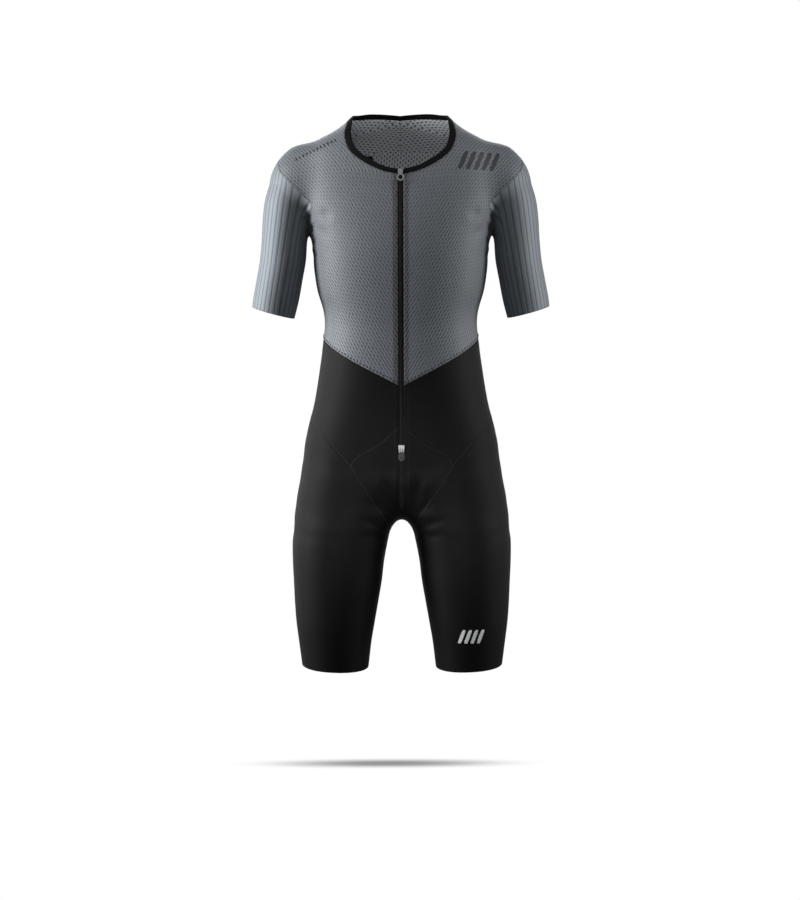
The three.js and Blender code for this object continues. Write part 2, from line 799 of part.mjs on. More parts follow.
// The binding stands on the neck seam and follows the surface upwards.
function makeCollar() {
  const seam = edge.neckline;
  const raised = (share) => seam.map((p, i) => {
    const tangent = direction(seam[Math.max(i - 1, 0)], seam[Math.min(i + 1, seam.length - 1)]);
    const across = tangent.cross(normalAt(p)).normalize();
    const up = across.multiplyScalar(Math.sign(across.z));
    const q = new THREE.Vector3(...p).addScaledVector(up, share * collarWidth(i)).toArray();
    if (i === 0 || i === seam.length - 1) q[0] = seam[i][0];
    return project(q);
  });
  const half = [raised(1), raised(0.5), seam].map((row) => [...row].reverse());
  const options = { outer: () => COLLAR_RISE, inner: () => COLLAR_RISE - COLLAR_WALL };
  addPiece('collar', wallGeometry(insetGrid(bothHalves(half)), options), FINISH.binding);
}

const COIL_END_STEP = 3;      // grid step of the crotch seam at which the coil ends
const TAPE_END_STEP = 2;      // grid step at which the tape ends, under the closed seam
const TAPE_END_DEPTH = 2.6;   // how much deeper the tape's lower end lies
const TAPE_SINK_END = 5;      // the grid step at which it has stopped sinking
const TAPE_SINK_STEPS = 4;    // grid steps over which it sinks
const TAPE_END_SHARE = 0.3;   // the lower end's share of the tape's width
const TAPE_TOP = [ZIP_HALF_OPENING, -95, -85]; // a point near the tape's upper end
const COIL = { halfWidth: 2.2, height: 0.4 };

// Strips that run the whole length of the zip, from the crotch to the neck, at the given distances
// from the centre line, with their first row narrowed to the given share.
function zipStrip(offsets, endStep, narrowed = 1) {
  const line = chain(edge.crotchEdge.slice(endStep), edge.frontEdgeLow, edge.frontEdgeTop);
  const levels = [...line, project(TAPE_TOP)];
  return levels.map(([, y, z], i) => offsets.map((x) => project([i === 0 ? x * narrowed : x, y, z])));
}

function makeZip() {
  const top = -CLOTH_WALL - LAYER_GAP;
  const half = TAPE_HALF_WIDTH;
  const offsets = [-half, -ZIP_HALF_OPENING, 0, ZIP_HALF_OPENING, half];
  const tape = zipStrip(offsets, TAPE_END_STEP, TAPE_END_SHARE);
  const sunk = (r) => top - TAPE_END_DEPTH * THREE.MathUtils.clamp((TAPE_SINK_END - r) / TAPE_SINK_STEPS, 0, 1);
  const walls = { outer: sunk, inner: (r) => sunk(r) - TAPE_WALL };
  addPiece('zip_tape', wallGeometry(tape, walls), FINISH.tape);
  const coil = zipStrip([-COIL.halfWidth, COIL.halfWidth], COIL_END_STEP);
  const options = { outer: () => COIL.height, inner: () => top + SEAM_GAP };
  addPiece('zip_coil', wallGeometry(coil, options), FINISH.coil);
}

// ---------------------------------------------------------------- sliders and pulls

const wasm = await Module();
wasm.setup();

function toSolid(geometry) {
  const bare = geometry.clone();
  bare.deleteAttribute('normal');
  bare.deleteAttribute('uv');
  const merged = mergeVertices(bare, 1e-4);
  return new wasm.Manifold(new wasm.Mesh({
    numProp: 3,
    vertProperties: new Float32Array(merged.attributes.position.array),
    triVerts: new Uint32Array(merged.index.array),
  }));
}

function toGeometry(solid) {
  const { vertProperties, triVerts } = solid.getMesh();
  const geometry = new THREE.BufferGeometry();
  geometry.setAttribute('position', new THREE.BufferAttribute(vertProperties, 3));
  geometry.setIndex(new THREE.BufferAttribute(triVerts, 1));
  return geometry;
}

function extrude(shape, depth) {
  return new THREE.ExtrudeGeometry(shape, { depth, bevelEnabled: false, curveSegments: 4 });
}

// An outline in a slider's plane, as thick as from low to high above the jersey.
function plate(shape, low, high) {
  return toSolid(extrude(shape, high - low).translate(0, 0, low));
}

// An outline seen from the side, with u up the zip and v away from it, as wide as given.
function crossPiece(shape, width) {
  const sideways = new THREE.Matrix4().makeBasis(
    new THREE.Vector3(0, 1, 0),
    new THREE.Vector3(0, 0, 1),
    new THREE.Vector3(1, 0, 0),
  );
  return toSolid(extrude(shape, width).translate(0, 0, -width / 2).applyMatrix4(sideways));
}

// A rounded outline from points x, y, with every corner cut by a curve of the given size.
function roundedShape(points, corner) {
  const shape = new THREE.Shape();
  const at = (i) => new THREE.Vector2(...points[(i + points.length) % points.length]);
  points.forEach((_, i) => {
    const here = at(i);
    const before = at(i - 1).sub(here).setLength(corner).add(here);
    const after = at(i + 1).sub(here).setLength(corner).add(here);
    if (i === 0) shape.moveTo(before.x, before.y);
    else shape.lineTo(before.x, before.y);
    shape.quadraticCurveTo(here.x, here.y, after.x, after.y);
  });
  shape.closePath();
  return shape;
}

function barShape(halfWidth, low, high, corner) {
  return roundedShape([[-halfWidth, low], [halfWidth, low], [halfWidth, high], [-halfWidth, high]], corner);
}

// Heights above the jersey's outer face, and half sizes across and along the zip.
const SLIDER = {
  bodyLow: 0.9,
  bodyHigh: 2.7,
  taper: 1.4,          // how much narrower each side is at the lower end
  corner: 0.9,
  flangeLow: -0.9,
  flangeInner: 2.7,
  flangeOuter: 4.3,
  flangeInset: 1,      // how far the flanges end short of the body
  overlap: 0.4,        // how far joined pieces reach into each other
  bailHalfWidth: 0.9,
  bailHeight: 6.1,
  bailOpening: 1.3,    // half the length of the bail's inner opening
  bailWall: 1.1,
};
const PULL = { hinge: 3.95, thickness: 1.2, bar: 1.2 };
const WINDOW = { halfWidth: 1.7, low: -3.6 }; // the pull's window, which fits round the bail
const FINE_CORNER = 0.3;

function sliderFlange(side, top, bottom) {
  const middle = (SLIDER.flangeInner + SLIDER.flangeOuter) / 2;
  const half = (SLIDER.flangeOuter - SLIDER.flangeInner) / 2;
  const shape = barShape(half, bottom + SLIDER.flangeInset, top - SLIDER.flangeInset, FINE_CORNER);
  return plate(shape, SLIDER.flangeLow, SLIDER.bodyLow + SLIDER.overlap).translate([side * middle, 0, 0]);
}

// The bail is an arch over the pull's bar.
function sliderBail() {
  const { bodyHigh, bailOpening, bailHeight, bailWall, overlap } = SLIDER;
  const arch = barShape(bailOpening + bailWall, bodyHigh - overlap, bailHeight, FINE_CORNER);
  const opening = barShape(bailOpening, bodyHigh, bailHeight - bailWall, FINE_CORNER);
  const width = 2 * SLIDER.bailHalfWidth;
  return crossPiece(arch, width).subtract(crossPiece(opening, 2 * width));
}

// The body covers the coil, with a flange on each side of it and the bail on top.
function sliderSolid({ halfWidth, top, bottom, shoulder }) {
  const low = halfWidth - SLIDER.taper;
  const outline = roundedShape([
    [-halfWidth, top], [-halfWidth, shoulder], [-low, bottom],
    [low, bottom], [halfWidth, shoulder], [halfWidth, top],
  ], SLIDER.corner);
  return plate(outline, SLIDER.bodyLow, SLIDER.bodyHigh)
    .add(sliderFlange(-1, top, bottom))
    .add(sliderFlange(1, top, bottom))
    .add(sliderBail());
}

// A flat pull hangs down from its hinge, which is its own origin.
function pullSolid(outline, hole) {
  const half = PULL.thickness / 2;
  const cut = (shape) => plate(shape, -PULL.thickness, PULL.thickness);
  const window = barShape(WINDOW.halfWidth, WINDOW.low, -PULL.bar / 2, FINE_CORNER);
  return plate(outline, -half, half).subtract(cut(window)).subtract(cut(hole));
}

const RING = { centre: -10.6, outer: 6.8, inner: 4.2, neck: 2.9 };

function ringOutline() {
  const shape = new THREE.Shape();
  const { neck } = RING;
  const start = Math.acos(neck / RING.outer);
  shape.moveTo(-neck, PULL.bar / 2);
  shape.lineTo(-neck, RING.centre + Math.sin(start) * RING.outer);
  shape.absarc(0, RING.centre, RING.outer, Math.PI - start, 2 * Math.PI + start, false);
  shape.lineTo(neck, PULL.bar / 2);
  shape.closePath();
  return shape;
}

function circle(radius, y) {
  const shape = new THREE.Shape();
  shape.absarc(0, y, radius, 0, 2 * Math.PI, false);
  return shape;
}

// The tab widens from its neck to its shoulders and ends in a blunt point.
const TAB = {
  length: 21,
  halfWidth: 5.6,
  neck: 3,
  neckEnd: -4.4,
  shoulder: -9,
  point: 5,
  hole: 1.6,           // radius of the hole near the point
  holeUp: 6.5,         // how far above the point it stands
};

function tabOutline() {
  const { length, halfWidth, neck, neckEnd, shoulder, point } = TAB;
  const top = PULL.bar / 2;
  const side = [[neck, top], [neck, neckEnd], [halfWidth, shoulder], [halfWidth, -length + point]];
  const otherSide = reversed(side).map(([x, y]) => [-x, y]);
  return roundedShape([...side, [0, -length], ...otherSide], FINE_CORNER);
}

// The frame of a place on the zip: x across, y up the zip, z out of the cloth.
function zipFrame(z) {
  const p = settle([0, TAPE_TOP[1], z, 'y']);
  const out = normalAt(p);
  const up = new THREE.Vector3(0, 0, 1).addScaledVector(out, -out.z).normalize();
  return new THREE.Matrix4().makeBasis(new THREE.Vector3().crossVectors(up, out), up, out).setPosition(...p);
}

// A pull's frame has its origin on the hinge. An upright pull hangs straight down.
function pullFrame(z, upright) {
  const frame = zipFrame(z);
  const hinge = new THREE.Vector3(0, 0, PULL.hinge).applyMatrix4(frame);
  const turned = upright ? new THREE.Matrix4().makeRotationX(Math.PI / 2) : frame;
  return turned.clone().setPosition(hinge);
}

const TOP_SLIDER = { z: -89, halfWidth: 4.5, top: 4.5, bottom: -4.5, shoulder: 0.5 };
const LOW_SLIDER = { z: -571, halfWidth: 5.2, top: 8, bottom: -6.5, shoulder: 2 };

function makeSliders() {
  const place = (name, solid, frame, finish) => {
    addPiece(name, toGeometry(solid).applyMatrix4(frame), finish);
  };
  place('slider_top', sliderSolid(TOP_SLIDER), zipFrame(TOP_SLIDER.z), FINISH.metal);
  place('slider_bottom', sliderSolid(LOW_SLIDER), zipFrame(LOW_SLIDER.z), FINISH.metal);
  const ring = pullSolid(ringOutline(), circle(RING.inner, RING.centre));
  place('pull_top', ring, pullFrame(TOP_SLIDER.z, false), FINISH.metal);
  const tab = pullSolid(tabOutline(), circle(TAB.hole, TAB.holeUp - TAB.length));
  place('pull_bottom', tab, pullFrame(LOW_SLIDER.z, true), FINISH.tab);
}

// ---------------------------------------------------------------- tab inside the neck

const NECK_TAB = { x: -56, y: 95, top: -54, width: 11, height: 9, wall: 1 };

function makeNeckTab() {
  const under = -CLOTH_WALL - LAYER_GAP;
  const grid = [0, 1].map((r) => [0, 1].map((c) => settle([
    NECK_TAB.x + (c - 0.5) * NECK_TAB.width, NECK_TAB.y, NECK_TAB.top - r * NECK_TAB.height, 'y',
  ])));
  const options = { outer: () => under, inner: () => under - NECK_TAB.wall };
  addPiece('neck_tab', wallGeometry(grid, options), FINISH.binding);
}

makeFronts();
makeBack();
makeLowerFronts();
makeCrotch();
makeSeat();
makeLegs();
makeSleeves();
makeCollar();
makeZip();
makeSliders();
makeNeckTab();

export default suit;
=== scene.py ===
"""Short-sleeved cycling roadsuit, filled out as it is worn, hollow and open at neck, cuffs and hems.

The row frame: metres, +Z up, -Y is the front, +X is the wearer's left. All shapes are worked out in
millimetres and turned to metres when a mesh is made.

The outer face is one smooth surface: a torso, two arms and two legs given by level sections and blended
where they meet. Seams are curves on it, panels are grids between seams, and the sewing follows the seams.
"""

import math

import bpy
import numpy as np
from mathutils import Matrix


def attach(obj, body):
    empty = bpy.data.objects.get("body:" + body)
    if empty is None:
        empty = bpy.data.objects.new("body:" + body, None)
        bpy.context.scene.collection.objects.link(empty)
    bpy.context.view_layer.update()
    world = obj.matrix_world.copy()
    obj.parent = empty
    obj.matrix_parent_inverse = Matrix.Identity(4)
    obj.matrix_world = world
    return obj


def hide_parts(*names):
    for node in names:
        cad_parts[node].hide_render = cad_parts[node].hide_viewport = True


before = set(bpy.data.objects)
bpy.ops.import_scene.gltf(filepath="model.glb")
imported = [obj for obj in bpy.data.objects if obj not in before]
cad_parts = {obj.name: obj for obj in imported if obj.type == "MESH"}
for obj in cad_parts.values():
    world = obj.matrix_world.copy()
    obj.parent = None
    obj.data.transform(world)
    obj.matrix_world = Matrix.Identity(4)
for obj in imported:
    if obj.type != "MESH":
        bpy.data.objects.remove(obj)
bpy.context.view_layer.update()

CLOTH_WALL = 1.2        # jersey, sleeve and shorts fabric
COLLAR_WALL = 1.8       # folded binding round the neck
COLLAR_RISE = 0.5       # how far the binding stands proud of the jersey
TAPE_WALL = 1.0         # woven zip tape
SEAM_GAP = 0.3          # clear space between neighbouring panels
LAYER_GAP = 0.7         # clear space between a panel and what lies under it
TAPE_HALF_WIDTH = 14.5
RIB_HEIGHT = 0.34       # how far a sleeve rib stands above the valley beside it
FINE = 6                # parts that each coarse grid step is cut into

# ---------------------------------------------------------------- camera, light and floor


def point_at(obj, place, target):
    """Puts an object at a place, in metres, and turns its -Z axis towards a target."""
    ahead = np.subtract(target, place)
    flat = math.hypot(ahead[0], ahead[1])
    obj.location = place
    obj.rotation_euler = (math.pi / 2 + math.atan2(ahead[2], flat), 0, math.atan2(-ahead[0], ahead[1]))


def linear(hex_colour):
    """An sRGB hex colour as linear RGBA."""
    values = np.array([int(hex_colour[i:i + 2], 16) for i in (1, 3, 5)]) / 255
    values = np.where(values <= 0.04045, values / 12.92, ((values + 0.055) / 1.055) ** 2.4)
    return (*values.tolist(), 1.0)


def add_node(tree, kind, inputs=(), **settings):
    """Adds a shader node. inputs gives each socket a value or a link; a node stands for its first output."""
    node = tree.nodes.new("ShaderNode" + kind)
    for name, value in settings.items():
        setattr(node, name, value)
    for name, value in dict(inputs).items():
        if isinstance(value, bpy.types.Node):
            value = value.outputs[0]
        if isinstance(value, bpy.types.NodeSocket):
            tree.links.new(value, node.inputs[name])
        else:
            node.inputs[name].default_value = value
    return node


def new_material(name):
    """A material without nodes, and its tree."""
    finish = bpy.data.materials.new(name)
    finish.use_nodes = True
    finish.node_tree.nodes.clear()
    return finish, finish.node_tree


def new_object(name, data):
    """An object of the scene from a mesh, a lamp or a camera."""
    obj = bpy.data.objects.new(name, data)
    scene.collection.objects.link(obj)
    return obj


scene = bpy.context.scene
scene.view_settings.view_transform = "Standard"

CAMERA = {"lens": 71.1, "place": (-0.001, -3.2, -0.189), "tilt": 82.95, "roll": 0.22}


def make_camera():
    """A long lens in front of the chest that looks slightly down."""
    camera = new_object("camera", bpy.data.cameras.new("camera"))
    camera.data.lens = CAMERA["lens"]
    camera.data.clip_end = 50
    camera.location = CAMERA["place"]
    camera.rotation_euler = (math.radians(CAMERA["tilt"]), math.radians(CAMERA["roll"]), 0)
    scene.camera = camera


# name, place, target, size across and up, power in watts, spread of its beam in degrees
LIGHTS = [
    ("light_left", (-2.55, -0.52, 0.05), (0, 0, -0.42), (0.7, 2.4), 128, 180),
    ("light_right", (2.55, -0.48, 0.05), (0, 0, -0.42), (0.7, 2.4), 56, 180),
    ("light_rim_left", (-1.9, 1.4, -0.4), (0, 0, -0.5), (0.5, 1.8), 16, 180),
    ("light_rim_right", (1.9, 1.4, -0.4), (0, 0, -0.5), (0.5, 1.8), 5, 180),
    ("light_front", (0, -2.9, 0.9), (0, 0, -0.20), (1.0, 0.8), 2.5, 180),
    ("light_low", (0, -0.9, -0.74), (0, 0, -0.66), (0.4, 0.2), 0.2, 34),
    ("light_neck", (0, -0.55, 0.55), (0, 0.08, -0.05), (0.12, 0.12), 1.4, 180),
    ("light_back", (0, 2.8, 0.9), (0, 0, -0.4), (2.4, 1.4), 24, 180),
]


def make_lights():
    """Rectangular lamps that the camera does not see."""
    for name, place, target, (width, height), power, spread in LIGHTS:
        light = bpy.data.lights.new(name, "AREA")
        light.shape = "RECTANGLE"
        light.size = width
        light.size_y = height
        light.energy = power
        light.spread = math.radians(spread)
        lamp = new_object(name, light)
        lamp.visible_camera = False
        point_at(lamp, place, target)


WHITE = (1, 1, 1, 1)
WORLD_LIGHT = 0.1       # share of its brightness with which the white surround lights the suit


def make_world():
    """A white surround that is seen at full brightness and lights the suit less strongly."""
    world = bpy.data.worlds.new("white_studio")
    world.use_nodes = True
    scene.world = world
    tree = world.node_tree
    tree.nodes.clear()
    seen = add_node(tree, "LightPath").outputs["Is Camera Ray"]
    strength = add_node(tree, "MapRange", {"Value": seen, "To Min": WORLD_LIGHT})
    back = add_node(tree, "Background", {"Color": WHITE, "Strength": strength})
    add_node(tree, "OutputWorld", {"Surface": back})


FLOOR_Z = -1.17
FLOOR_HALF = 12.0
# A painted shadow: a soft dark ellipse under the suit, drawn in the floor's glow and cast by no lamp.
PAINTED_SHADOW = {"centre": -0.027, "half_width": 0.245, "half_depth": 0.030, "darkest": 0.30, "fade": 1.35}


def make_floor():
    """A pale floor under the hanging suit that glows evenly, with a soft shadow painted into its glow."""
    mesh = bpy.data.meshes.new("floor")
    corners = [(x * FLOOR_HALF, y * FLOOR_HALF, FLOOR_Z) for x, y in ((-1, -1), (1, -1), (1, 1), (-1, 1))]
    mesh.from_pydata(corners, [], [(0, 1, 2, 3)])
    floor = new_object("floor", mesh)
    finish, tree = new_material("white_studio_floor")
    place = add_node(tree, "TexCoord").outputs["Object"]
    moved = add_node(tree, "VectorMath", {0: place, 1: (PAINTED_SHADOW["centre"], 0, 0)}, operation="SUBTRACT")
    shares = (1 / PAINTED_SHADOW["half_width"], 1 / PAINTED_SHADOW["half_depth"], 0)
    scaled = add_node(tree, "VectorMath", {0: moved, 1: shares}, operation="MULTIPLY")
    distance = add_node(tree, "VectorMath", {0: scaled}, operation="LENGTH").outputs["Value"]
    # The glow dims towards the ellipse's middle: the painted shadow.
    fade = {"Value": distance, "From Max": PAINTED_SHADOW["fade"], "To Min": PAINTED_SHADOW["darkest"]}
    shade = add_node(tree, "MapRange", fade, interpolation_type="SMOOTHERSTEP")
    glow = add_node(tree, "Emission", {"Color": WHITE, "Strength": shade})
    add_node(tree, "OutputMaterial", {"Surface": glow})
    mesh.materials.append(finish)
    floor.visible_diffuse = False
    floor.visible_glossy = False


make_camera()
make_lights()
make_world()
make_floor()

# ---------------------------------------------------------------- level sections of the figure

# Each row: height z, centre x and y, half width, depth in front of and behind the centre. cap and foot
# are how far the rounded ends reach past the first and last rows; lean tilts the rounded top.
TORSO = {
  "power": 2.35,
  "cap": 60,
  "foot": 86,
  "lean": 0,
  "rows": [
    [45, 0, 4, 60, 50, 54],
    [20, 0, 3, 76, 60, 60],
    [0, 0, 2, 97, 70, 68],
    [-13, 0, 2, 115, 76, 74],
    [-30, 0, 2, 146, 82, 82],
    [-48, 0, 2, 172, 89, 90],
    [-70, 0, 2, 182, 96, 97],
    [-100, 0, 1, 184, 103, 103],
    [-150, 0, 0, 172, 111, 106],
    [-190, 0, 0, 162, 115, 104],
    [-224, 0, 0, 157, 116, 101],
    [-260, 0, 0, 154.5, 114, 97],
    [-296, 0, -1, 149, 110, 94],
    [-331, 0, -2, 139, 106, 92],
    [-356, 0, -2, 136.5, 104, 92],
    [-385, 0, -2, 139.5, 104, 94],
    [-421, 0, -1, 144, 105, 99],
    [-494, 0, 0, 156, 106, 110],
    [-566, 0, 2, 173, 104, 117],
    [-610, 0, 4, 174, 99, 115],
  ],
}

ARM = {
  "power": 2.05,
  "cap": 60,
  "foot": 40,
  "lean": 0.12,
  "rows": [
    [-107, 190, 2, 43, 55, 56],
    [-136, 198, 1, 43.5, 57, 58],
    [-171, 203, -1, 43, 55, 56],
    [-190, 205.5, -2, 41.5, 54, 55],
    [-207, 207.5, -3, 40.5, 53, 54],
    [-242, 210.5, -5, 41, 51, 52],
    [-278, 217, -7, 41, 49, 50],
    [-313, 223.5, -9, 41, 47, 48],
    [-350, 230, -11, 38, 45, 46],
  ],
}

LEG = {
  "power": 2.1,
  "cap": 60,
  "foot": 40,
  "lean": 0,
  "rows": [
    [-560, 84, 4, 60, 60, 70],
    [-610, 88, 4, 80, 82, 96],
    [-650, 91, 4, 95, 89, 103],
    [-690, 92, 4, 101, 90, 99],
    [-705, 99, 4, 96, 90, 96],
    [-717, 104, 3, 91.5, 90, 94],
    [-732, 108.5, 3, 88, 89, 92],
    [-750, 112, 2, 87, 88, 91],
    [-787, 115.5, 1, 83.5, 86, 88],
    [-824, 117, 0, 80.5, 83, 84],
    [-862, 119.5, -1, 76.5, 79, 80],
    [-899, 121.5, -2, 72, 75, 75],
    [-937, 122.5, -2, 66.5, 70, 70],
    [-974, 122.5, -2, 62, 65, 65],
    [-1000, 122.5, -2, 59, 62, 62],
  ],
}

# The large folds on the wearer's left: side, x and z of both ends, half width and depth.
FOLDS = [
  ["front", 143, -150, 116, -172, 8, 2.4],
  ["front", 146, -178, 122, -208, 8, 2.0],
  ["front", 24, -700, 66, -655, 9, 2.2],
  ["front", 40, -712, 92, -690, 9, 1.8],
  ["front", 78, -618, 128, -600, 10, 1.4],
  ["back", 143, -148, 110, -176, 10, 2.4],
  ["back", 146, -184, 118, -214, 9, 1.8],
  ["back", 0, -352, 74, -340, 12, 2.0],
  ["back", 26, -702, 96, -682, 11, 2.6],
]

# Seams on the wearer's left. Each row: x, y and z, and the axis along which it is brought onto the surface,
# or n for the shortest way.
SEAMS = {
  "neckline": [
    [5, -100, -92, "y"],
    [28, -98, -87.5, "y"],
    [46, -95, -80.5, "y"],
    [63, -91, -71.3, "y"],
    [76, -86, -62.5, "y"],
    [86, -81, -53.5, "y"],
    [93, -73, -41, "y"],
    [97, -58, -23, "n"],
    [94, -35, -6, "n"],
    [91, -8, 3, "n"],
    [88, 18, 5, "n"],
    [78, 40, 7.5, "n"],
    [58, 55, 9.5, "n"],
    [31, 64, 9, "n"],
    [0, 67.4, 7, "y"],
  ],
  "armholeFront": [
    [163, 0, -198, "n"],
    [163, -14, -195, "n"],
    [165, -27, -185, "n"],
    [166, -38, -170, "n"],
    [162, -49, -158, "n"],
    [157, -57, -149, "n"],
    [157, -61, -141, "y"],
    [164, -62, -134, "y"],
    [180, -57, -119, "y"],
    [195, -48, -104, "y"],
  ],
  "armholeOver": [
    [195, -48, -104, "y"],
    [206, -36, -89, "n"],
    [211, -16, -74, "n"],
    [209, 5, -66, "n"],
    [204, 24, -70, "n"],
    [197, 38, -77, "n"],
  ],
  "armholeYoke": [
    [197, 38, -77, "n"],
    [184, 54, -90, "n"],
    [174, 64, -103, "n"],
  ],
  "armholeBack": [
    [174, 64, -103, "n"],
    [164, 65, -120, "n"],
    [160, 61, -137, "n"],
    [163, 51, -151, "n"],
    [165, 42, -162, "n"],
    [164, 31, -177, "n"],
    [163, 20, -190, "n"],
    [163, 10, -197, "n"],
    [163, 0, -198, "n"],
  ],
  "sideTop": [
    [163, 0, -198, "n"],
    [158, 2, -224, "x"],
    [154, 5, -260, "x"],
    [147, 6, -302, "x"],
    [137, 7, -345, "x"],
    [139, 8, -378, "x"],
  ],
  "sideLow": [
    [139, 8, -378, "x"],
    [144, 8, -421, "x"],
    [153, 8, -475, "x"],
    [163, 8, -524, "x"],
  ],
  "frontEdgeTop": [
    [5, -108, -458, "y"],
    [5, -106, -360, "y"],
    [5, -116, -230, "y"],
    [5, -108, -140, "y"],
    [5, -100, -92, "y"],
  ],
  "frontEdgeLow": [
    [5, -110, -533, "y"],
    [5, -108, -458, "y"],
  ],
  "crotchEdge": [
    [0, 0, -713, "z"],
    [0, -40, -700, "n"],
    [0, -56, -690, "n"],
    [5, -70, -666, "n"],
    [5, -84, -641, "n"],
    [5, -93, -617, "y"],
    [5, -106, -575, "y"],
    [5, -110, -533, "y"],
  ],
  "centreBackYoke": [
    [0, 68, 3, "y"],
    [0, 82, -22, "y"],
    [0, 94, -48, "y"],
  ],
  "centreBack": [
    [0, 94, -48, "y"],
    [0, 106, -120, "y"],
    [0, 102, -220, "y"],
    [0, 90, -320, "y"],
    [0, 92, -366, "y"],
  ],
  "centreSeat": [
    [0, 92, -366, "y"],
    [0, 108, -450, "y"],
    [0, 118, -540, "y"],
    [0, 110, -620, "y"],
    [0, 82, -675, "n"],
    [0, 45, -704, "n"],
    [0, 0, -713, "z"],
  ],
  "yoke": [
    [0, 94, -48, "y"],
    [50, 93, -50, "y"],
    [110, 84, -66, "y"],
    [174, 64, -103, "n"],
  ],
  "waistFront": [
    [5, -108, -458, "y"],
    [38, -106, -441, "y"],
    [94, -80, -412, "y"],
    [125, -45, -389, "n"],
    [139, 8, -378, "x"],
  ],
  "waistBack": [
    [0, 92, -366, "y"],
    [60, 84, -368, "y"],
    [112, 58, -372, "n"],
    [139, 8, -378, "x"],
  ],
  "hip": [
    [91, -95, -602, "y"],
    [110, -85, -581, "y"],
    [132, -70, -556, "y"],
    [152, -40, -534, "n"],
    [163, 8, -524, "x"],
  ],
  "crotchTop": [
    [5, -110, -533, "y"],
    [18, -108, -545, "y"],
    [34, -106, -560, "y"],
    [56, -104, -573, "y"],
    [78, -100, -585, "y"],
    [91, -95, -602, "y"],
  ],
  "crotchSide": [
    [20, 0, -731, "x"],
    [27, -40, -718, "n"],
    [42, -68, -685, "n"],
    [62, -85, -650, "n"],
    [91, -95, -602, "y"],
  ],
  "crotchUnder": [
    [0, 0, -713, "z"],
    [10, 0, -718, "n"],
    [20, 0, -731, "x"],
  ],
  "seat": [
    [20, 0, -731, "x"],
    [30, 42, -717, "n"],
    [52, 80, -678, "n"],
    [92, 102, -625, "n"],
    [135, 78, -570, "n"],
    [156, 42, -537, "n"],
    [163, 8, -524, "x"],
  ],
}
ARMPIT_BLEND = 11       # width of the fillet under the arm
SHOULDER_BLEND = 40     # width of the fillet over the shoulder
ARMPIT_Z = -185         # below this level the arm's fillet is the narrow one
SHOULDER_Z = -115       # above this level it is the wide one
CROTCH_BLEND = 16       # width of the fillet between the legs
HIP_BLEND = 32          # width of the fillet between leg and torso
BELOW_ARMS_Z = -450     # a level between the cuffs and the legs

STEPS = {
    "neckline": 11, "armholeFront": 7, "armholeOver": 11, "armholeYoke": 3, "armholeBack": 7,
    "sideTop": 9, "sideLow": 7, "across": 10, "hip": 5, "crotchTop": 5, "crotchSide": 8,
    "crotchUnder": 5, "seat": 12, "sleeveRows": 9, "legRows": 16,
}
SLEEVE_GRADING = 1.5
CUFF = {"x": 229, "y": -10, "z": -335, "width": 38, "depth": 46, "lift": 10.5}
HEM = {"x": 121, "y": -2, "z": -982, "width": 61, "depth": 64, "lift": 3}
PROBE = 0.05            # half the distance over which a slope is measured
WALL_PROBE = 6          # the same for the directions of walls

# ---------------------------------------------------------------- the figure's surface


def prepared(shape):
    """Adds to a shape its rows and their slopes, as arrays."""
    rows = np.array(shape["rows"], float)
    before = rows[np.maximum(np.arange(len(rows)) - 1, 0)]
    after = rows[np.minimum(np.arange(len(rows)) + 1, len(rows) - 1)]
    return {**shape, "table": rows, "slopes": (after - before) / (after[:, :1] - before[:, :1])}


def section_at(shape, z):
    """Centre x and y, half width and both depths at heights z: a cubic through the rows' values and slopes."""
    rows, slopes = shape["table"], shape["slopes"]
    i = np.searchsorted(-rows[1:-1, 0], -z, side="left")
    a, b = rows[i], rows[i + 1]
    span = (b[..., 0] - a[..., 0])[..., None]
    t = np.clip((z - a[..., 0])[..., None] / span, 0, 1)
    t2, t3 = t * t, t * t * t
    values = (2 * t3 - 3 * t2 + 1) * a + (t3 - 2 * t2 + t) * span * slopes[i] \
        + (3 * t2 - 2 * t3) * b + (t3 - t2) * span * slopes[i + 1]
    return [values[..., k] for k in range(1, 6)]


def reach(shape, p):
    """How far points lie outside a shape: their distance from its axis, less that of the shape's face."""
    x, y, z = p[..., 0], p[..., 1], p[..., 2]
    cx, cy, width, front, back = section_at(shape, z)
    above = np.maximum(z - shape["table"][0, 0], 0)
    below = np.maximum(shape["table"][-1, 0] - z, 0)
    dx = x - cx + shape["lean"] * above
    dy = y - cy
    depth = np.where(dy < 0, front, back)
    power = shape["power"]
    level = (np.abs(dx / width) ** power + np.abs(dy / depth) ** power) ** (1 / power)
    scaled = np.sqrt(level ** 2 + (above / shape["cap"]) ** 2 + (below / shape["foot"]) ** 2)
    radius = np.sqrt(dx ** 2 + dy ** 2 + above ** 2 + below ** 2)
    return radius - radius / np.maximum(scaled, 1e-6)


def gradient(field, p, probe=PROBE):
    """The slope of a field along each axis, from its values on both sides of each point."""
    moves = np.eye(3) * probe
    return np.stack([(field(p + move) - field(p - move)) / (2 * probe) for move in moves], axis=-1)


def shape_distance(shape, p):
    """A reach divided by its own steepness, which is close to a true distance."""
    slope = gradient(lambda q: reach(shape, q), p)
    return reach(shape, p) / np.maximum(np.linalg.norm(slope, axis=-1), 0.2)


def blend(a, b, width):
    """The lesser of two distances, rounded by a parabola where they are within a width of each other."""
    near = np.maximum(width - np.abs(a - b), 0) / width
    return np.minimum(a, b) - near * near * width / 4


TORSO, ARM, LEG = prepared(TORSO), prepared(ARM), prepared(LEG)


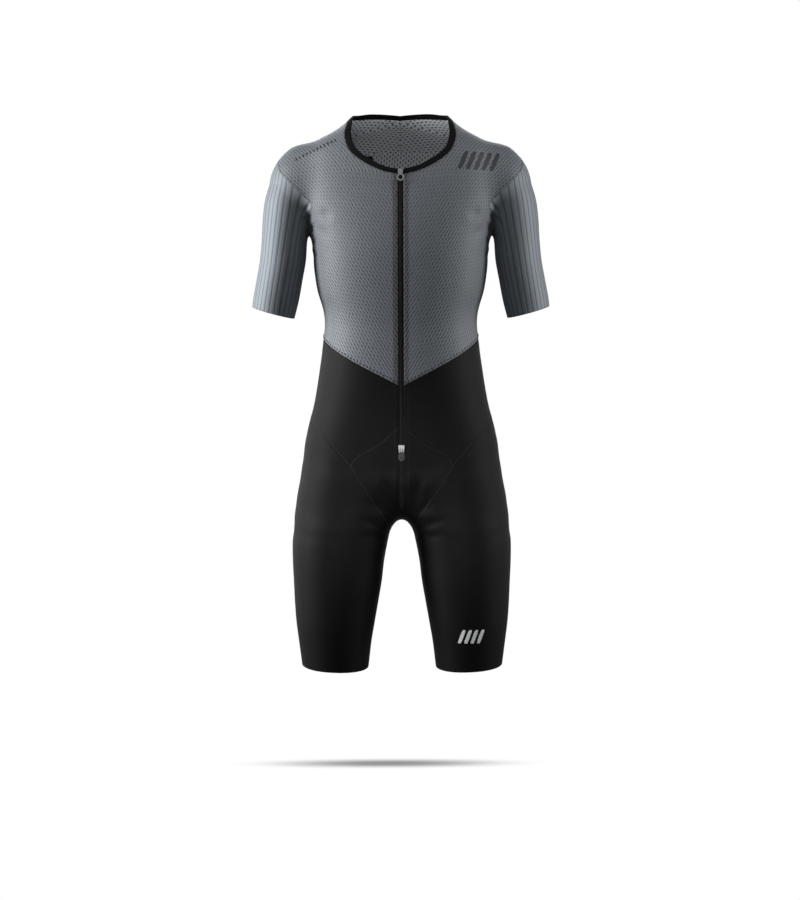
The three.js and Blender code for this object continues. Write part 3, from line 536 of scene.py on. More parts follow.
def fold_depth(p, folds=FOLDS):
    """How deep the folds are: a bell across each fold, and an arch along it."""
    x, y, z = p[..., 0], p[..., 1], p[..., 2]
    depth = np.zeros(x.shape)
    for side, x1, z1, x2, z2, width, deep in folds:
        length = math.hypot(x2 - x1, z2 - z1)
        ux, uz = (x2 - x1) / length, (z2 - z1) / length
        along = ((x - x1) * ux + (z - z1) * uz) / length
        across = ((x - x1) * uz - (z - z1) * ux) / width
        within = (along > 0) & (along < 1) & (np.abs(across) <= 3) & ((y < 0) == (side == "front"))
        depth += np.where(within, deep * np.exp(-across ** 2) * np.sin(np.pi * np.clip(along, 0, 1)) ** 2, 0)
    return depth


def figure(p):
    """Distance from the garment's outer face, outwards positive."""
    shape = p.shape[:-1]
    near = p.reshape(-1, 3) * 1.0
    near[:, 0] = np.abs(near[:, 0])
    value = shape_distance(TORSO, near)
    high = near[:, 2] > BELOW_ARMS_Z
    if high.any():
        q = near[high]
        height = np.clip((q[:, 2] - ARMPIT_Z) / (SHOULDER_Z - ARMPIT_Z), 0, 1)
        height = height * height * (3 - 2 * height)
        width = ARMPIT_BLEND + (SHOULDER_BLEND - ARMPIT_BLEND) * height
        value[high] = blend(value[high], shape_distance(ARM, q), width)
    if not high.all():
        q = near[~high]
        other = q * (-1, 1, 1)
        legs = blend(shape_distance(LEG, q), shape_distance(LEG, other), CROTCH_BLEND)
        value[~high] = blend(value[~high], legs, HIP_BLEND)
    return (value + fold_depth(near)).reshape(shape)


def project(p, rounds=4):
    """Brings points onto the surface by the shortest way."""
    for _ in range(rounds):
        slope = gradient(figure, p)
        p = p - slope * (figure(p) / (slope ** 2).sum(-1))[..., None]
    return p


def slide(p, axis, rounds):
    """Brings points onto the surface along one axis, by at most 8 mm a round."""
    for _ in range(rounds):
        slope = gradient(figure, p)[..., axis]
        p[..., axis] -= np.clip(figure(p) / (np.sign(slope) * np.maximum(np.abs(slope), 0.3)), -8, 8)
    return p


def settle(row):
    """Brings a seam's row onto the surface along its own axis, or by the shortest way."""
    *place, along = row
    p = np.array(place, float)
    return project(p) if along == "n" else slide(p, "xyz".index(along), 12)


def unit(v):
    """Vectors brought to length 1."""
    return v / np.maximum(np.linalg.norm(v, axis=-1, keepdims=True), 1e-9)


def normal_at(p):
    """The outward direction of the surface."""
    return unit(gradient(figure, p, WALL_PROBE))


# ---------------------------------------------------------------- seams and grids


def smooth_curve(knots, count):
    """count points along a centripetal Catmull-Rom curve through knots, for even steps of its parameter."""
    knots = np.asarray(knots, float)
    ends = np.array([2 * knots[0] - knots[1], *knots, 2 * knots[-1] - knots[-2]])
    t = np.linspace(0, len(knots) - 1, count)
    i = np.minimum(t.astype(int), len(knots) - 2)
    w = (t - i)[:, None]
    p0, p1, p2, p3 = (ends[i + k] for k in range(4))
    d0, d1, d2 = (np.sqrt(np.linalg.norm(b - a, axis=1))[:, None] for a, b in ((p0, p1), (p1, p2), (p2, p3)))
    t1 = ((p1 - p0) / d0 - (p2 - p0) / (d0 + d1) + (p2 - p1) / d1) * d1
    t2 = ((p2 - p1) / d1 - (p3 - p1) / (d1 + d2) + (p3 - p2) / d2) * d1
    return p1 + t1 * w + (-3 * p1 + 3 * p2 - 2 * t1 - t2) * w ** 2 + (2 * p1 - 2 * p2 + t1 + t2) * w ** 3


def travel(line, axis=0):
    """The length from the start to each point of a line, or of a grid's lines along an axis."""
    steps = np.linalg.norm(np.diff(line, axis=axis), axis=-1)
    return np.concatenate([np.zeros_like(steps.take([0], axis)), np.cumsum(steps, axis=axis)], axis=axis)


def points_at(wanted, places, values):
    """Values at wanted lengths along a line, from those at its own places."""
    return np.stack([np.interp(wanted, places, values[:, k]) for k in range(values.shape[1])], axis=1)


def even_points(line, steps):
    """Points at even steps of length along a line."""
    places = travel(line)
    return points_at(np.linspace(0, places[-1], steps + 1), places, line)


def seam_points(name, steps, fine=FINE):
    """A seam in fine steps, on the surface, from the smooth curve through its rows."""
    line = even_points(smooth_curve([settle(row) for row in SEAMS[name]], 801), steps * fine)
    line[:, 0] = np.maximum(line[:, 0], 0)
    return project(line)


SEAM_STEPS = {name: STEPS[name] for name in (
    "neckline", "armholeFront", "armholeOver", "armholeYoke", "armholeBack", "sideTop", "sideLow", "hip",
    "crotchTop", "crotchSide", "crotchUnder", "seat")}
SEAM_STEPS.update({
    "yoke": STEPS["across"],
    "waistFront": STEPS["across"],
    "waistBack": STEPS["across"],
    "centreBackYoke": STEPS["armholeYoke"],
    "frontEdgeTop": STEPS["sideTop"] + STEPS["armholeFront"],
    "frontEdgeLow": STEPS["sideLow"],
    "crotchEdge": STEPS["crotchSide"],
    "centreBack": STEPS["armholeBack"] + STEPS["sideTop"],
    "centreSeat": STEPS["sideLow"] + STEPS["seat"],
})
seam = {name: seam_points(name, steps) for name, steps in SEAM_STEPS.items()}


def chain(*parts):
    """Lines end to end as one; each starts where the last one stops."""
    return np.concatenate([parts[0], *(part[1:] for part in parts[1:])])


def cubic_weights(steps, factor, closed=False):
    """Weights that set factor points for each step of a smooth curve through even values."""
    count = steps if closed else steps + 1
    k = np.arange(steps * factor + (0 if closed else 1))
    i = np.minimum(k // factor, steps - 1)
    t = ((k - i * factor) / factor)[:, None]
    here = np.eye(count)
    slopes = (np.roll(here, -1, axis=0) - np.roll(here, 1, axis=0)) / 2
    if not closed:
        slopes[0] = (-3 * here[0] + 4 * here[1] - here[2]) / 2
        slopes[-1] = (3 * here[-1] - 4 * here[-2] + here[-3]) / 2
    j = (i + 1) % count
    return (2 * t ** 3 - 3 * t ** 2 + 1) * here[i] + (t ** 3 - 2 * t ** 2 + t) * slopes[i] \
        + (3 * t ** 2 - 2 * t ** 3) * here[j] + (t ** 3 - t ** 2) * slopes[j]


def refined(grid, factors, closed=False):
    """A coarse grid of points or values with smooth curves drawn through it both ways."""
    rows = cubic_weights(len(grid) - 1, factors[0])
    columns = cubic_weights(grid.shape[1] - (0 if closed else 1), factors[1], closed)
    return np.einsum("ai,bj,ijk->abk", rows, columns, grid)


def coons(first, last, start, end):
    """The patch between four edges: both ruled surfaces, less the one through the corners."""
    v = np.linspace(0, 1, len(start))[:, None, None]
    u = np.linspace(0, 1, len(first))[None, :, None]
    across = start[:, None] * (1 - u) + end[:, None] * u
    along = first[None] * (1 - v) + last[None] * v
    corners = (first[0] * (1 - u) + first[-1] * u) * (1 - v) + (last[0] * (1 - u) + last[-1] * u) * v
    return across + along - corners


def stretch_grid(first, last, start, end, evenings=36):
    """A fine grid between four fine edges: a coarse one is evened out on the surface, then refined."""
    coarse = [edge[::FINE] for edge in (first, last, start, end)]
    grid = coons(*coarse)
    grid[1:-1, 1:-1] = project(grid[1:-1, 1:-1], 6)
    for _ in range(evenings):
        p = grid[1:-1, 1:-1]
        around = np.stack([grid[:-2, 1:-1], grid[2:, 1:-1], grid[1:-1, :-2], grid[1:-1, 2:]])
        pulls = (np.linalg.norm(around - p, axis=-1) ** 0.7)[..., None]
        middle = (around * pulls).sum(0) / pulls.sum(0)
        grid[1:-1, 1:-1] = project((p + middle) / 2, 1)
    fine = refined(grid, (FINE, FINE))
    fine += coons(first - fine[0], last - fine[-1], start - fine[:, 0], end - fine[:, -1])
    inside = project(fine, 2)
    inside[0], inside[-1], inside[:, 0], inside[:, -1] = first, last, start, end
    return inside, grid


def stretch_tube(shape, first, last, shares, factors, evenings=16):
    """A fine closed grid round an arm or leg between two loops. shares places its coarse rows."""
    first_c, last_c = first[::factors[1]], last[::factors[1]]

    def turn_of(p):
        cx, cy, width, front, back = section_at(shape, p[..., 2])
        depth = np.where(p[..., 1] < cy, front, back)
        return np.arctan2((p[..., 1] - cy) / depth, (p[..., 0] - cx) / width)

    t0, t1 = turn_of(first_c), turn_of(last_c)
    swing = t1 - t0
    swing = swing - 2 * np.pi * np.round(swing / (2 * np.pi))
    share = shares[:, None]
    turn = t0 + swing * share
    z = first_c[:, 2] * (1 - share) + last_c[:, 2] * share
    cx, cy, width, front, back = section_at(shape, z)
    depth = np.where(np.sin(turn) < 0, front, back)
    grid = project(np.stack([cx + width * np.cos(turn), cy + depth * np.sin(turn), z], axis=-1), 6)
    grid[0], grid[-1] = first_c, last_c
    part = ((shares[1:-1] - shares[:-2]) / (shares[2:] - shares[:-2]))[:, None, None]
    for _ in range(evenings):
        along = grid[:-2] * (1 - part) + grid[2:] * part
        around = (np.roll(grid, 1, axis=1) + np.roll(grid, -1, axis=1))[1:-1] / 2
        grid[1:-1] = project((along + around) / 2, 1)
    fine = refined(grid, factors, True)
    v = np.linspace(0, 1, len(fine))[:, None, None]
    fine += (first - fine[0]) * (1 - v) + (last - fine[-1]) * v
    fine[1:-1] = project(fine[1:-1], 2)
    fine[0], fine[-1] = first, last
    return fine, grid


def graded_shares(steps, power=1.0):
    """Shares from 0 to 1, closer together at the start for a power over 1."""
    return (np.arange(steps + 1) / steps) ** power


def raw_edge(edge, turns):
    """A raw edge: a tilted oval, brought onto the surface."""
    out, ahead = np.cos(2 * np.pi * turns), np.sin(2 * np.pi * turns)
    x = edge["x"] + edge["width"] * out
    y = edge["y"] - edge["depth"] * ahead
    return project(np.stack([x, y, edge["z"] + edge["lift"] * out], axis=-1))


EASING = 0.22           # share of each round's moves that is made, which keeps them steady


def flattened(grid, rounds=1500):
    """The cut piece: its grid laid flat, with every side and diagonal let out to its real length."""
    rows, columns = grid.shape[:2]
    wide = travel(grid, 1)
    flat = np.stack([wide - wide[:, -1:] / 2, -travel(grid)], axis=-1)
    ties = []
    for dr, dc in ((0, 1), (1, 0), (1, 1), (1, -1)):
        a = (slice(0, rows - dr), slice(max(-dc, 0), columns - max(dc, 0)))
        b = (slice(dr, rows), slice(max(dc, 0), columns - max(-dc, 0)))
        ties.append((a, b, np.linalg.norm(grid[a] - grid[b], axis=-1)))
    for _ in range(rounds):
        move = np.zeros_like(flat)
        for a, b, length in ties:
            gap = flat[b] - flat[a]
            now = np.maximum(np.linalg.norm(gap, axis=-1), 1e-6)
            step = gap * ((now - length) / now / 2)[..., None]
            move[a] += step
            move[b] -= step
        flat = flat + move * EASING
    return flat


def flat_area(flat):
    """The area of a flat grid, from the diagonals of its cells."""
    p = flat[1:, 1:] - flat[:-1, :-1]
    q = flat[1:, :-1] - flat[:-1, 1:]
    return float(np.abs(p[..., 0] * q[..., 1] - p[..., 1] * q[..., 0]).sum() / 2)


# ---------------------------------------------------------------- meshes


def make_mesh(name, points, quads, triangles=(), uv=None, faces_of=None, materials=()):
    """Makes an object at the origin from points in millimetres. uv holds a pair of metres for each corner.
    Its volume, summed from its faces, tells whether they point inwards, and they are then turned."""
    quads = np.asarray(quads, np.int64).reshape(-1, 4)
    triangles = np.asarray(triangles, np.int64).reshape(-1, 3)
    a = points[quads]
    b = points[triangles]
    volume = np.einsum("ij,ij->", a[:, 0], np.cross(a[:, 1], a[:, 2]) + np.cross(a[:, 2], a[:, 3])) \
        + np.einsum("ij,ij->", b[:, 0], np.cross(b[:, 1], b[:, 2]))
    if volume < 0:
        quads, triangles = quads[:, ::-1], triangles[:, ::-1]
        uv = None if uv is None else uv[:, ::-1]
    mesh = bpy.data.meshes.new(name)
    mesh.vertices.add(len(points))
    mesh.vertices.foreach_set("co", (points * 0.001).astype(np.float32).ravel())
    mesh.loops.add(quads.size + triangles.size)
    corners = np.concatenate([quads.ravel(), triangles.ravel()])
    mesh.loops.foreach_set("vertex_index", corners.astype(np.int32))
    mesh.polygons.add(len(quads) + len(triangles))
    starts = np.concatenate([np.arange(len(quads)) * 4, quads.size + np.arange(len(triangles)) * 3])
    mesh.polygons.foreach_set("loop_start", starts.astype(np.int32))
    mesh.update(calc_edges=True)
    mesh.polygons.foreach_set("use_smooth", np.ones(len(starts), bool))
    if uv is not None:
        layer = mesh.uv_layers.new(name="cloth")
        layer.data.foreach_set("uv", uv.astype(np.float32).ravel())
    for finish in materials:
        mesh.materials.append(finish)
    if faces_of is not None:
        mesh.polygons.foreach_set("material_index", faces_of.astype(np.int32))
    return new_object(name, mesh)


def add_values(obj, name, values):
    """Stores one number for each vertex, for the material to read."""
    layer = obj.data.attributes.new(name, "FLOAT", "POINT")
    layer.data.foreach_set("value", np.asarray(values, np.float32).ravel())


def inset(grid, normals, closed=False):
    """Moves a grid's edges into the panel by half the seam gap."""
    def push(line, normal, inside):
        ahead = np.roll(line, -1, axis=0) - np.roll(line, 1, axis=0) if closed else np.gradient(line, axis=0)
        side = unit(np.cross(unit(ahead), normal))
        return side * np.sign(((inside - line) * side).sum(-1, keepdims=True)) * SEAM_GAP / 2
    move = np.zeros_like(grid)
    move[0] += push(grid[0], normals[0], grid[1])
    move[-1] += push(grid[-1], normals[-1], grid[-2])
    if not closed:
        move[:, 0] += push(grid[:, 0], normals[:, 0], grid[:, 1])
        move[:, -1] += push(grid[:, -1], normals[:, -1], grid[:, -2])
    return grid + move


BORDER = 0.5     # how far inside an edge the line stands that keeps the edge crisp
ROUNDING = 0.3   # how much lower the wall's faces stand at an edge


def with_borders(points, arrays, both_ways):
    """Adds a grid line just inside the first and last rows, and columns too where both_ways."""
    for axis in ((0, 1) if both_ways else (0,)):
        line = np.moveaxis(points, axis, 0)
        near = BORDER / np.linalg.norm(line[1] - line[0], axis=-1)[:, None]
        far = BORDER / np.linalg.norm(line[-2] - line[-1], axis=-1)[:, None]
        grown = []
        for array in (points, *arrays):
            a = np.moveaxis(array, axis, 0)
            start, end = a[0] + (a[1] - a[0]) * near, a[-1] + (a[-2] - a[-1]) * far
            grown.append(np.moveaxis(np.concatenate([a[:1], start[None], a[1:-1], end[None], a[-1:]]), 0, axis))
        points, arrays = grown[0], grown[1:]
    return points, arrays


def shell(name, points, normals, uv, finishes, outer=0.0, inner=-CLOTH_WALL, closed=False, values=None):
    """The closed wall of a grid: both faces stand off the surface along its normals, by outer and inner,
    and their edges are rounded into the rim. The last column repeats the first on a closed tube."""
    shape = (*points.shape[:2], 1)
    heights = [np.ones(shape) * (h[..., None] if np.ndim(h) else h) for h in (outer, inner)]
    extra = [value[..., None] for value in (values or {}).values()]
    arrays = [normals, uv, *heights, *extra]
    points, (normals, uv, high, low, *extra) = with_borders(points, arrays, not closed)
    rows, columns = points.shape[:2]
    rim = np.zeros((rows, columns, 1))
    rim[[0, -1]] = 1
    if not closed:
        rim[:, [0, -1]] = 1
    high, low = high - ROUNDING * rim, low + ROUNDING * rim
    used = columns - 1 if closed else columns
    faces = [(points + normals * h)[:, :used].reshape(-1, 3) for h in (high, low)]
    quads, uvs = [], []

    def add_faces(corners):
        """corners: row, column and side of each of a face's four corners, as arrays."""
        at = [(side * rows + r) * used + c % used for r, c, side in corners]
        quads.append(np.stack(at, -1).reshape(-1, 4))
        uvs.append(np.stack([uv[r, c] for r, c, _ in corners], -2).reshape(-1, 4, 2))

    r, c = np.meshgrid(np.arange(rows - 1), np.arange(columns - 1), indexing="ij")
    add_faces([(r, c, 0), (r, c + 1, 0), (r + 1, c + 1, 0), (r + 1, c, 0)])
    add_faces([(r + 1, c, 1), (r + 1, c + 1, 1), (r, c + 1, 1), (r, c, 1)])
    k, j = np.arange(columns - 1), np.arange(rows - 1)
    rims = [(0 * k, k, 0 * k, k + 1), (0 * k + rows - 1, k + 1, 0 * k + rows - 1, k)]
    if not closed:
        rims += [(j + 1, 0 * j, j, 0 * j), (j, 0 * j + columns - 1, j + 1, 0 * j + columns - 1)]
    for r0, c0, r1, c1 in rims:
        add_faces([(r0, c0, 1), (r1, c1, 1), (r1, c1, 0), (r0, c0, 0)])
    inside = np.zeros(sum(len(q) for q in quads))
    inside[len(quads[0]):2 * len(quads[0])] = len(finishes) - 1
    obj = make_mesh(name, np.concatenate(faces), np.concatenate(quads), uv=np.concatenate(uvs),
                    faces_of=inside, materials=finishes)
    for key, value in zip(values or {}, extra):
        add_values(obj, key, np.tile(value[:, :used].ravel(), 2))
    return obj


def circle(first, second, sides):
    """Circles of points of radius 1, one for each pair of directions."""
    turn = np.arange(sides)[:, None] * 2 * np.pi / sides
    return np.cos(turn) * first[:, None] + np.sin(turn) * second[:, None]


def capped(first, rings, last):
    """Closed threads, many at once: circles of points joined in a row, between a first and a last pole.
    rings counts threads, circles and points."""
    count, circles, sides = rings.shape[:3]
    points = np.concatenate([first[:, None], rings.reshape(count, -1, 3), last[:, None]], axis=1)
    k, after = np.arange(sides), (np.arange(sides) + 1) % sides
    at = (1 + sides * np.arange(circles - 1))[:, None]
    quads = np.stack([at + k, at + after, at + sides + after, at + sides + k], -1).reshape(-1, 4)
    end = 1 + sides * (circles - 1)
    first_cap = np.stack([0 * k, 1 + after, 1 + k], -1)
    last_cap = np.stack([0 * k + end + sides, end + k, end + after], -1)
    offset = (np.arange(count) * points.shape[1])[:, None, None]
    caps = (np.concatenate([first_cap, last_cap]) + offset).reshape(-1, 3)
    return points.reshape(-1, 3), (quads + offset).reshape(-1, 4), caps


def tube(line, normals, radius, sides=8):
    """A round thread along a line: circles in the plane of the surface's normal and the sideways direction."""
    across = unit(np.cross(unit(np.gradient(line, axis=0)), normals))
    rings = line[:, None] + radius * circle(normals, across, sides)
    return capped(line[:1], rings[None], line[-1:])


STITCH_RINGS = [(0.08, 0.6), (0.5, 1.0), (0.92, 0.6)]  # place along a stitch, and share of its radius


def stitches(line, normals, pitch, length, radius, height=0.15, sides=6):
    """Raised stitches along a line: each is a thread with rounded ends, three circles between two poles."""
    places = travel(line)
    count = max(int(places[-1] // pitch), 1)
    start = (np.arange(count) + 0.5) * places[-1] / count - length / 2
    a, b = points_at(start, places, line), points_at(start + length, places, line)
    n = unit(points_at(start + length / 2, places, normals))
    ring = circle(n, unit(np.cross(unit(b - a), n)), sides) * radius
    rings = [(a + (b - a) * place + n * (height - radius * (1 - share)))[:, None] + ring * share
             for place, share in STITCH_RINGS]
    sunk = n * (height - radius)
    return capped(a + sunk, np.stack(rings, axis=1), b + sunk)


def joined(parts):
    """Several (points, quads, triangles) as one."""
    base = np.cumsum([0] + [len(p[0]) for p in parts])
    return (np.concatenate([p[0] for p in parts]),
            np.concatenate([p[1] + base[i] for i, p in enumerate(parts)]),
            np.concatenate([p[2] + base[i] for i, p in enumerate(parts)]))


def mirrored(line):
    """A line on the wearer's right, from one on the left."""
    return line * np.array([-1, 1, 1])


# ---------------------------------------------------------------- small creases

# The creases between the large folds, with the same columns. A depth below 0 is a trough.
CREASES = [
    ("front", 150, -152, 170, -176, 3.4, 1.3),
    ("front", 152, -166, 168, -186, 2.8, -1.2),
    ("front", 147, -170, 163, -196, 3.2, 1.4),
    ("front", 150, -188, 164, -206, 2.6, -1.0),
    ("front", 146, -196, 160, -220, 3.0, 1.3),
    ("front", 150, -212, 160, -232, 2.6, -0.9),
    ("front", 147, -222, 157, -244, 3.0, 1.0),
    ("front", 158, -140, 172, -160, 2.6, 1.2),
    ("front", 163, -150, 178, -172, 3.0, -1.1),
    ("front", 166, -164, 182, -190, 3.2, 1.2),
    ("back", 150, -150, 170, -178, 3.4, 1.3),
    ("back", 147, -168, 164, -198, 3.0, -1.2),
    ("back", 150, -186, 164, -210, 2.8, 1.2),
    ("back", 146, -200, 158, -228, 3.0, 1.1),
    ("back", 163, -152, 180, -180, 3.2, 1.2),
    ("front", 14, -706, 50, -668, 5.0, 1.4),
    ("front", 22, -722, 74, -700, 5.0, 1.5),
    ("front", 30, -736, 84, -726, 5.5, 1.2),
    ("front", 10, -690, 26, -640, 4.5, -1.0),
    ("front", 30, -660, 52, -620, 6.0, -1.0),
    ("front", 32, -592, 25, -690, 10, 1.9),
    ("front", 15, -600, 12, -694, 5.0, -1.3),
    ("front", 46, -610, 40, -672, 7.0, -1.2),
    ("back", 18, -716, 70, -706, 5.5, 1.6),
    ("back", 12, -700, 60, -676, 5.0, -1.2),
    ("back", 30, -740, 96, -728, 6.0, 1.4),
]


def crease_height(points):
    """How far the small creases raise the cloth, on both sides of the suit."""
    near = points.reshape(-1, 3) * 1.0
    near[:, 0] = np.abs(near[:, 0])
    return -fold_depth(near, CREASES).reshape(points.shape[:-1])


def dressed(points, normals):
    """Points raised or lowered with the creases of the cloth."""
    return points + normals * crease_height(points)[..., None]


# ---------------------------------------------------------------- materials


WAVE = 2 * math.pi / 20     # spacing of a wave texture's bands at scale 1


def finished(finish, tree, factor, colours, height, depth, veil=None, tint="#ffffff", **values):
    """Ends a finish: two colours over a factor, the bump of a height, and the shader's own values.
    veil is a factor and a colour laid over the others."""
    base = add_node(tree, "ValToRGB", {"Fac": factor})
    for element, colour in zip(base.color_ramp.elements, colours):
        element.color = linear(colour)
    if veil:
        base = add_node(tree, "Mix", {0: veil[0], 6: base, 7: linear(veil[1])}, data_type="RGBA").outputs[2]
    sockets = {name.replace("_", " "): value for name, value in values.items()}
    sockets["Base Color"] = base
    sockets["Normal"] = add_node(tree, "Bump", {"Height": height, "Distance": depth, "Strength": 1.0})
    sockets["Sheen Tint"] = linear(tint)
    add_node(tree, "OutputMaterial", {"Surface": add_node(tree, "BsdfPrincipled", sockets)})
    return finish


def weighted(tree, *terms):
    """The sum of some values, each times its weight."""
    total = 0.0
    for value, weight in terms:
        total = add_node(tree, "Math", {0: value, 1: weight, 2: total}, operation="MULTIPLY_ADD")
    return total


def millimetres(tree, place):
    """A place in metres, turned to millimetres."""
    return add_node(tree, "VectorMath", {0: place, "Scale": 1000.0}, operation="SCALE")


def cloth_place(tree):
    """The place on the cut piece, in millimetres."""
    return millimetres(tree, add_node(tree, "UVMap", uv_map="cloth"))


def ovals(tree, place, pitch, half, slant):
    """1 in the middle of staggered ovals and 0 between them, in two lattices half a pitch apart."""
    turned = add_node(tree, "VectorRotate", {"Vector": place, "Angle": slant}, rotation_type="Z_AXIS")
    lattice = add_node(tree, "VectorMath", {0: turned, 1: (*pitch, 1)}, operation="DIVIDE")
    shares = (pitch[0] / half[0], pitch[1] / half[1], 0)
    distances = []
    for shift in (0.0, 0.5):
        moved = add_node(tree, "VectorMath", {0: lattice, 1: (shift, shift, 0)}, operation="ADD")
        cell = add_node(tree, "VectorMath", {0: moved}, operation="FRACTION")
        centred = add_node(tree, "VectorMath", {0: cell, 1: (0.5, 0.5, 0)}, operation="SUBTRACT")
        scaled = add_node(tree, "VectorMath", {0: centred, 1: shares}, operation="MULTIPLY")
        distances.append(add_node(tree, "VectorMath", {0: scaled}, operation="LENGTH").outputs["Value"])
    nearest = add_node(tree, "Math", dict(enumerate(distances)), operation="MINIMUM")
    edge = {"Value": nearest, "From Min": 1.25, "From Max": 0.55}
    return add_node(tree, "MapRange", edge, interpolation_type="SMOOTHSTEP")


def mesh_jersey(name, colours, half, slant, depth, over_tape=True, specular=0.5):
    """Warp-knitted polyester mesh: staggered oval eyelets, their columns 5 mm apart and 8.6 mm along a column.
    The eyelets are shallow and a shade darker; where the black zip tape lies behind they show it."""
    finish, tree = new_material(name)
    place = cloth_place(tree)
    eyelet = ovals(tree, place, (10.0, 8.6), half, slant)
    fleck = add_node(tree, "TexNoise", {"Vector": place, "Scale": 0.9, "Detail": 2.0, "Roughness": 0.6})
    veil = None
    if over_tape:
        tape = add_node(tree, "Attribute", attribute_name="over_tape").outputs["Fac"]
        through = add_node(tree, "Math", {0: eyelet, 1: 0.5, 2: 0.46}, operation="MULTIPLY_ADD")
        veil = add_node(tree, "Math", {0: tape, 1: through}, operation="MULTIPLY"), "#0c0d10"
    darkness = weighted(tree, (eyelet, 0.8), (fleck, 0.2))
    height = weighted(tree, (fleck, 0.12), (eyelet, -1.0))
    return finished(finish, tree, darkness, colours, height, depth, veil, "#dfe4ea", Roughness=0.55,
                    Sheen_Weight=0.3, Sheen_Roughness=0.4, Specular_IOR_Level=specular)


def satin_knit(name, colours):
    """Ribbed polyamide and elastane knit with a satin face, its ribs 9.6 mm apart. The thin dark line in each
    valley between two ribs is painted shade in the groove."""
    finish, tree = new_material(name)
    rib = add_node(tree, "Attribute", attribute_name="rib").outputs["Fac"]
    place = add_node(tree, "VectorMath", {0: cloth_place(tree), 1: (2.4, 0.5, 1)}, operation="MULTIPLY")
    fleck = add_node(tree, "TexNoise", {"Vector": place, "Scale": 1.0, "Detail": 2.0, "Roughness": 0.6})
    # The rib value sets the colour, and its dark end is painted shade in the grooves.
    return finished(finish, tree, weighted(tree, (rib, 0.86), (fleck, 0.14)), colours, fleck, 0.00012,
                    tint="#e6eaef", Roughness=0.64, Metallic=0.35, Sheen_Weight=0.1, Sheen_Roughness=0.35,
                    Specular_IOR_Level=0.3)


def lycra(name, colours):
    """Warp-knitted elastane, calendered on the face: fine ribs under a soft matte-satin sheen.
    The wales are 0.4 mm apart, too fine to show, and are drawn 1.2 mm apart."""
    finish, tree = new_material(name)
    place = cloth_place(tree)
    bands = {"Vector": place, "Scale": WAVE / 1.2, "Distortion": 0.6, "Detail": 1.0}
    wales = add_node(tree, "TexWave", bands, wave_type="BANDS", bands_direction="X").outputs["Fac"]
    fleck = add_node(tree, "TexNoise", {"Vector": place, "Scale": 0.55, "Detail": 4.0, "Roughness": 0.7})
    broad = add_node(tree, "TexNoise", {"Vector": place, "Scale": 0.02, "Detail": 2.0, "Roughness": 0.6})
    height = weighted(tree, (wales, 0.5), (fleck, 1.0))
    return finished(finish, tree, weighted(tree, (fleck, 0.45), (broad, 0.55)), colours, height, 0.00006,
                    tint="#d9d4da", Roughness=0.6, Sheen_Weight=0.22, Sheen_Roughness=0.25,
                    Specular_IOR_Level=0.12)


def woven(name, colours, spacing):
    """Woven polyester tape: a herringbone of fine ribs, spacing millimetres apart."""
    finish, tree = new_material(name)
    bands = {"Vector": cloth_place(tree), "Scale": WAVE / spacing, "Distortion": 0.4}
    ribs = add_node(tree, "TexWave", bands, wave_type="BANDS", bands_direction="DIAGONAL").outputs["Fac"]
    return finished(finish, tree, ribs, colours, ribs, 0.0001, Roughness=0.8, Specular_IOR_Level=0.3)


def plain(name, colours, roughness, metallic=0.0, grain=0.8, depth=0.00003, specular=0.5):
    """A moulded, cast or spun finish: two close colours and a fine grain, grain per millimetre."""
    finish, tree = new_material(name)
    place = millimetres(tree, add_node(tree, "TexCoord").outputs["Object"])
    fleck = add_node(tree, "TexNoise", {"Vector": place, "Scale": grain, "Detail": 3.0, "Roughness": 0.6})
    return finished(finish, tree, fleck, colours, fleck, depth, Roughness=roughness, Metallic=metallic,
                    Specular_IOR_Level=specular)


# The fronts' eyelets slant towards the zip. The wrong side shows rounder eyelets on a pale ground: partly the
# wrong side's own lighter tone and partly painted light, standing in for light shining through the mesh.
EYELET, EYELET_INSIDE = (1.1, 4.0), (1.6, 3.0)
JERSEY = mesh_jersey("polyester_eyelet_mesh", ("#6a6f75", "#3c4147"), EYELET, math.radians(-30), 0.0004)
# The pale ground of the wrong side is brightened as painted light that shines through the mesh.
JERSEY_INSIDE_PAINTED_LIGHT = mesh_jersey("polyester_eyelet_mesh_inside_painted_light", ("#dee1e5", "#4e5359"), EYELET_INSIDE,
                            math.radians(38), 0.0002, False, 0.3)
JERSEY_BACK = mesh_jersey("polyester_eyelet_mesh_back", ("#6a6f75", "#3c4147"), EYELET, 0.0, 0.0004, False)
# The back's wrong side is brightened the same way, as painted light through the mesh.
JERSEY_BACK_INSIDE_PAINTED_LIGHT = mesh_jersey("polyester_eyelet_mesh_back_inside_painted_light", ("#d6dade", "#4a4f55"), EYELET_INSIDE,
                                 math.radians(6), 0.0002, False, 0.3)
# The darker colour is painted shade, laid in the valleys between the ribs.
SATIN = satin_knit("ribbed_satin_knit", ("#4f555b", "#81878d"))
LYCRA = lycra("black_elastane_knit", ("#09080a", "#0e0d0f"))
TAPE = woven("woven_zip_tape", ("#0e0e10", "#1a1a1d"), 0.9)
# The wrong sides are brushed and matt.
SATIN_INSIDE = plain("knit_reverse_grey", ("#6d7278", "#7d8287"), 0.8)
LYCRA_INSIDE = plain("elastane_reverse_black", ("#0c0b0d", "#141315"), 0.85)
# Spun threads and folded elastic are matt; the coil's drawn nylon is a little smoother.
BINDING = plain("folded_elastic_binding", ("#060607", "#0a0a0c"), 0.7, grain=1.5, specular=0.12)
COIL = plain("nylon_zip_coil", ("#070709", "#0e0e10"), 0.5, specular=0.25)
THREAD_BLACK = plain("black_polyester_thread", ("#0b0b0d", "#18181b"), 0.7, grain=2.0)
THREAD_GREY = plain("dark_grey_polyester_thread", ("#2c3035", "#3b4046"), 0.7, grain=2.0)
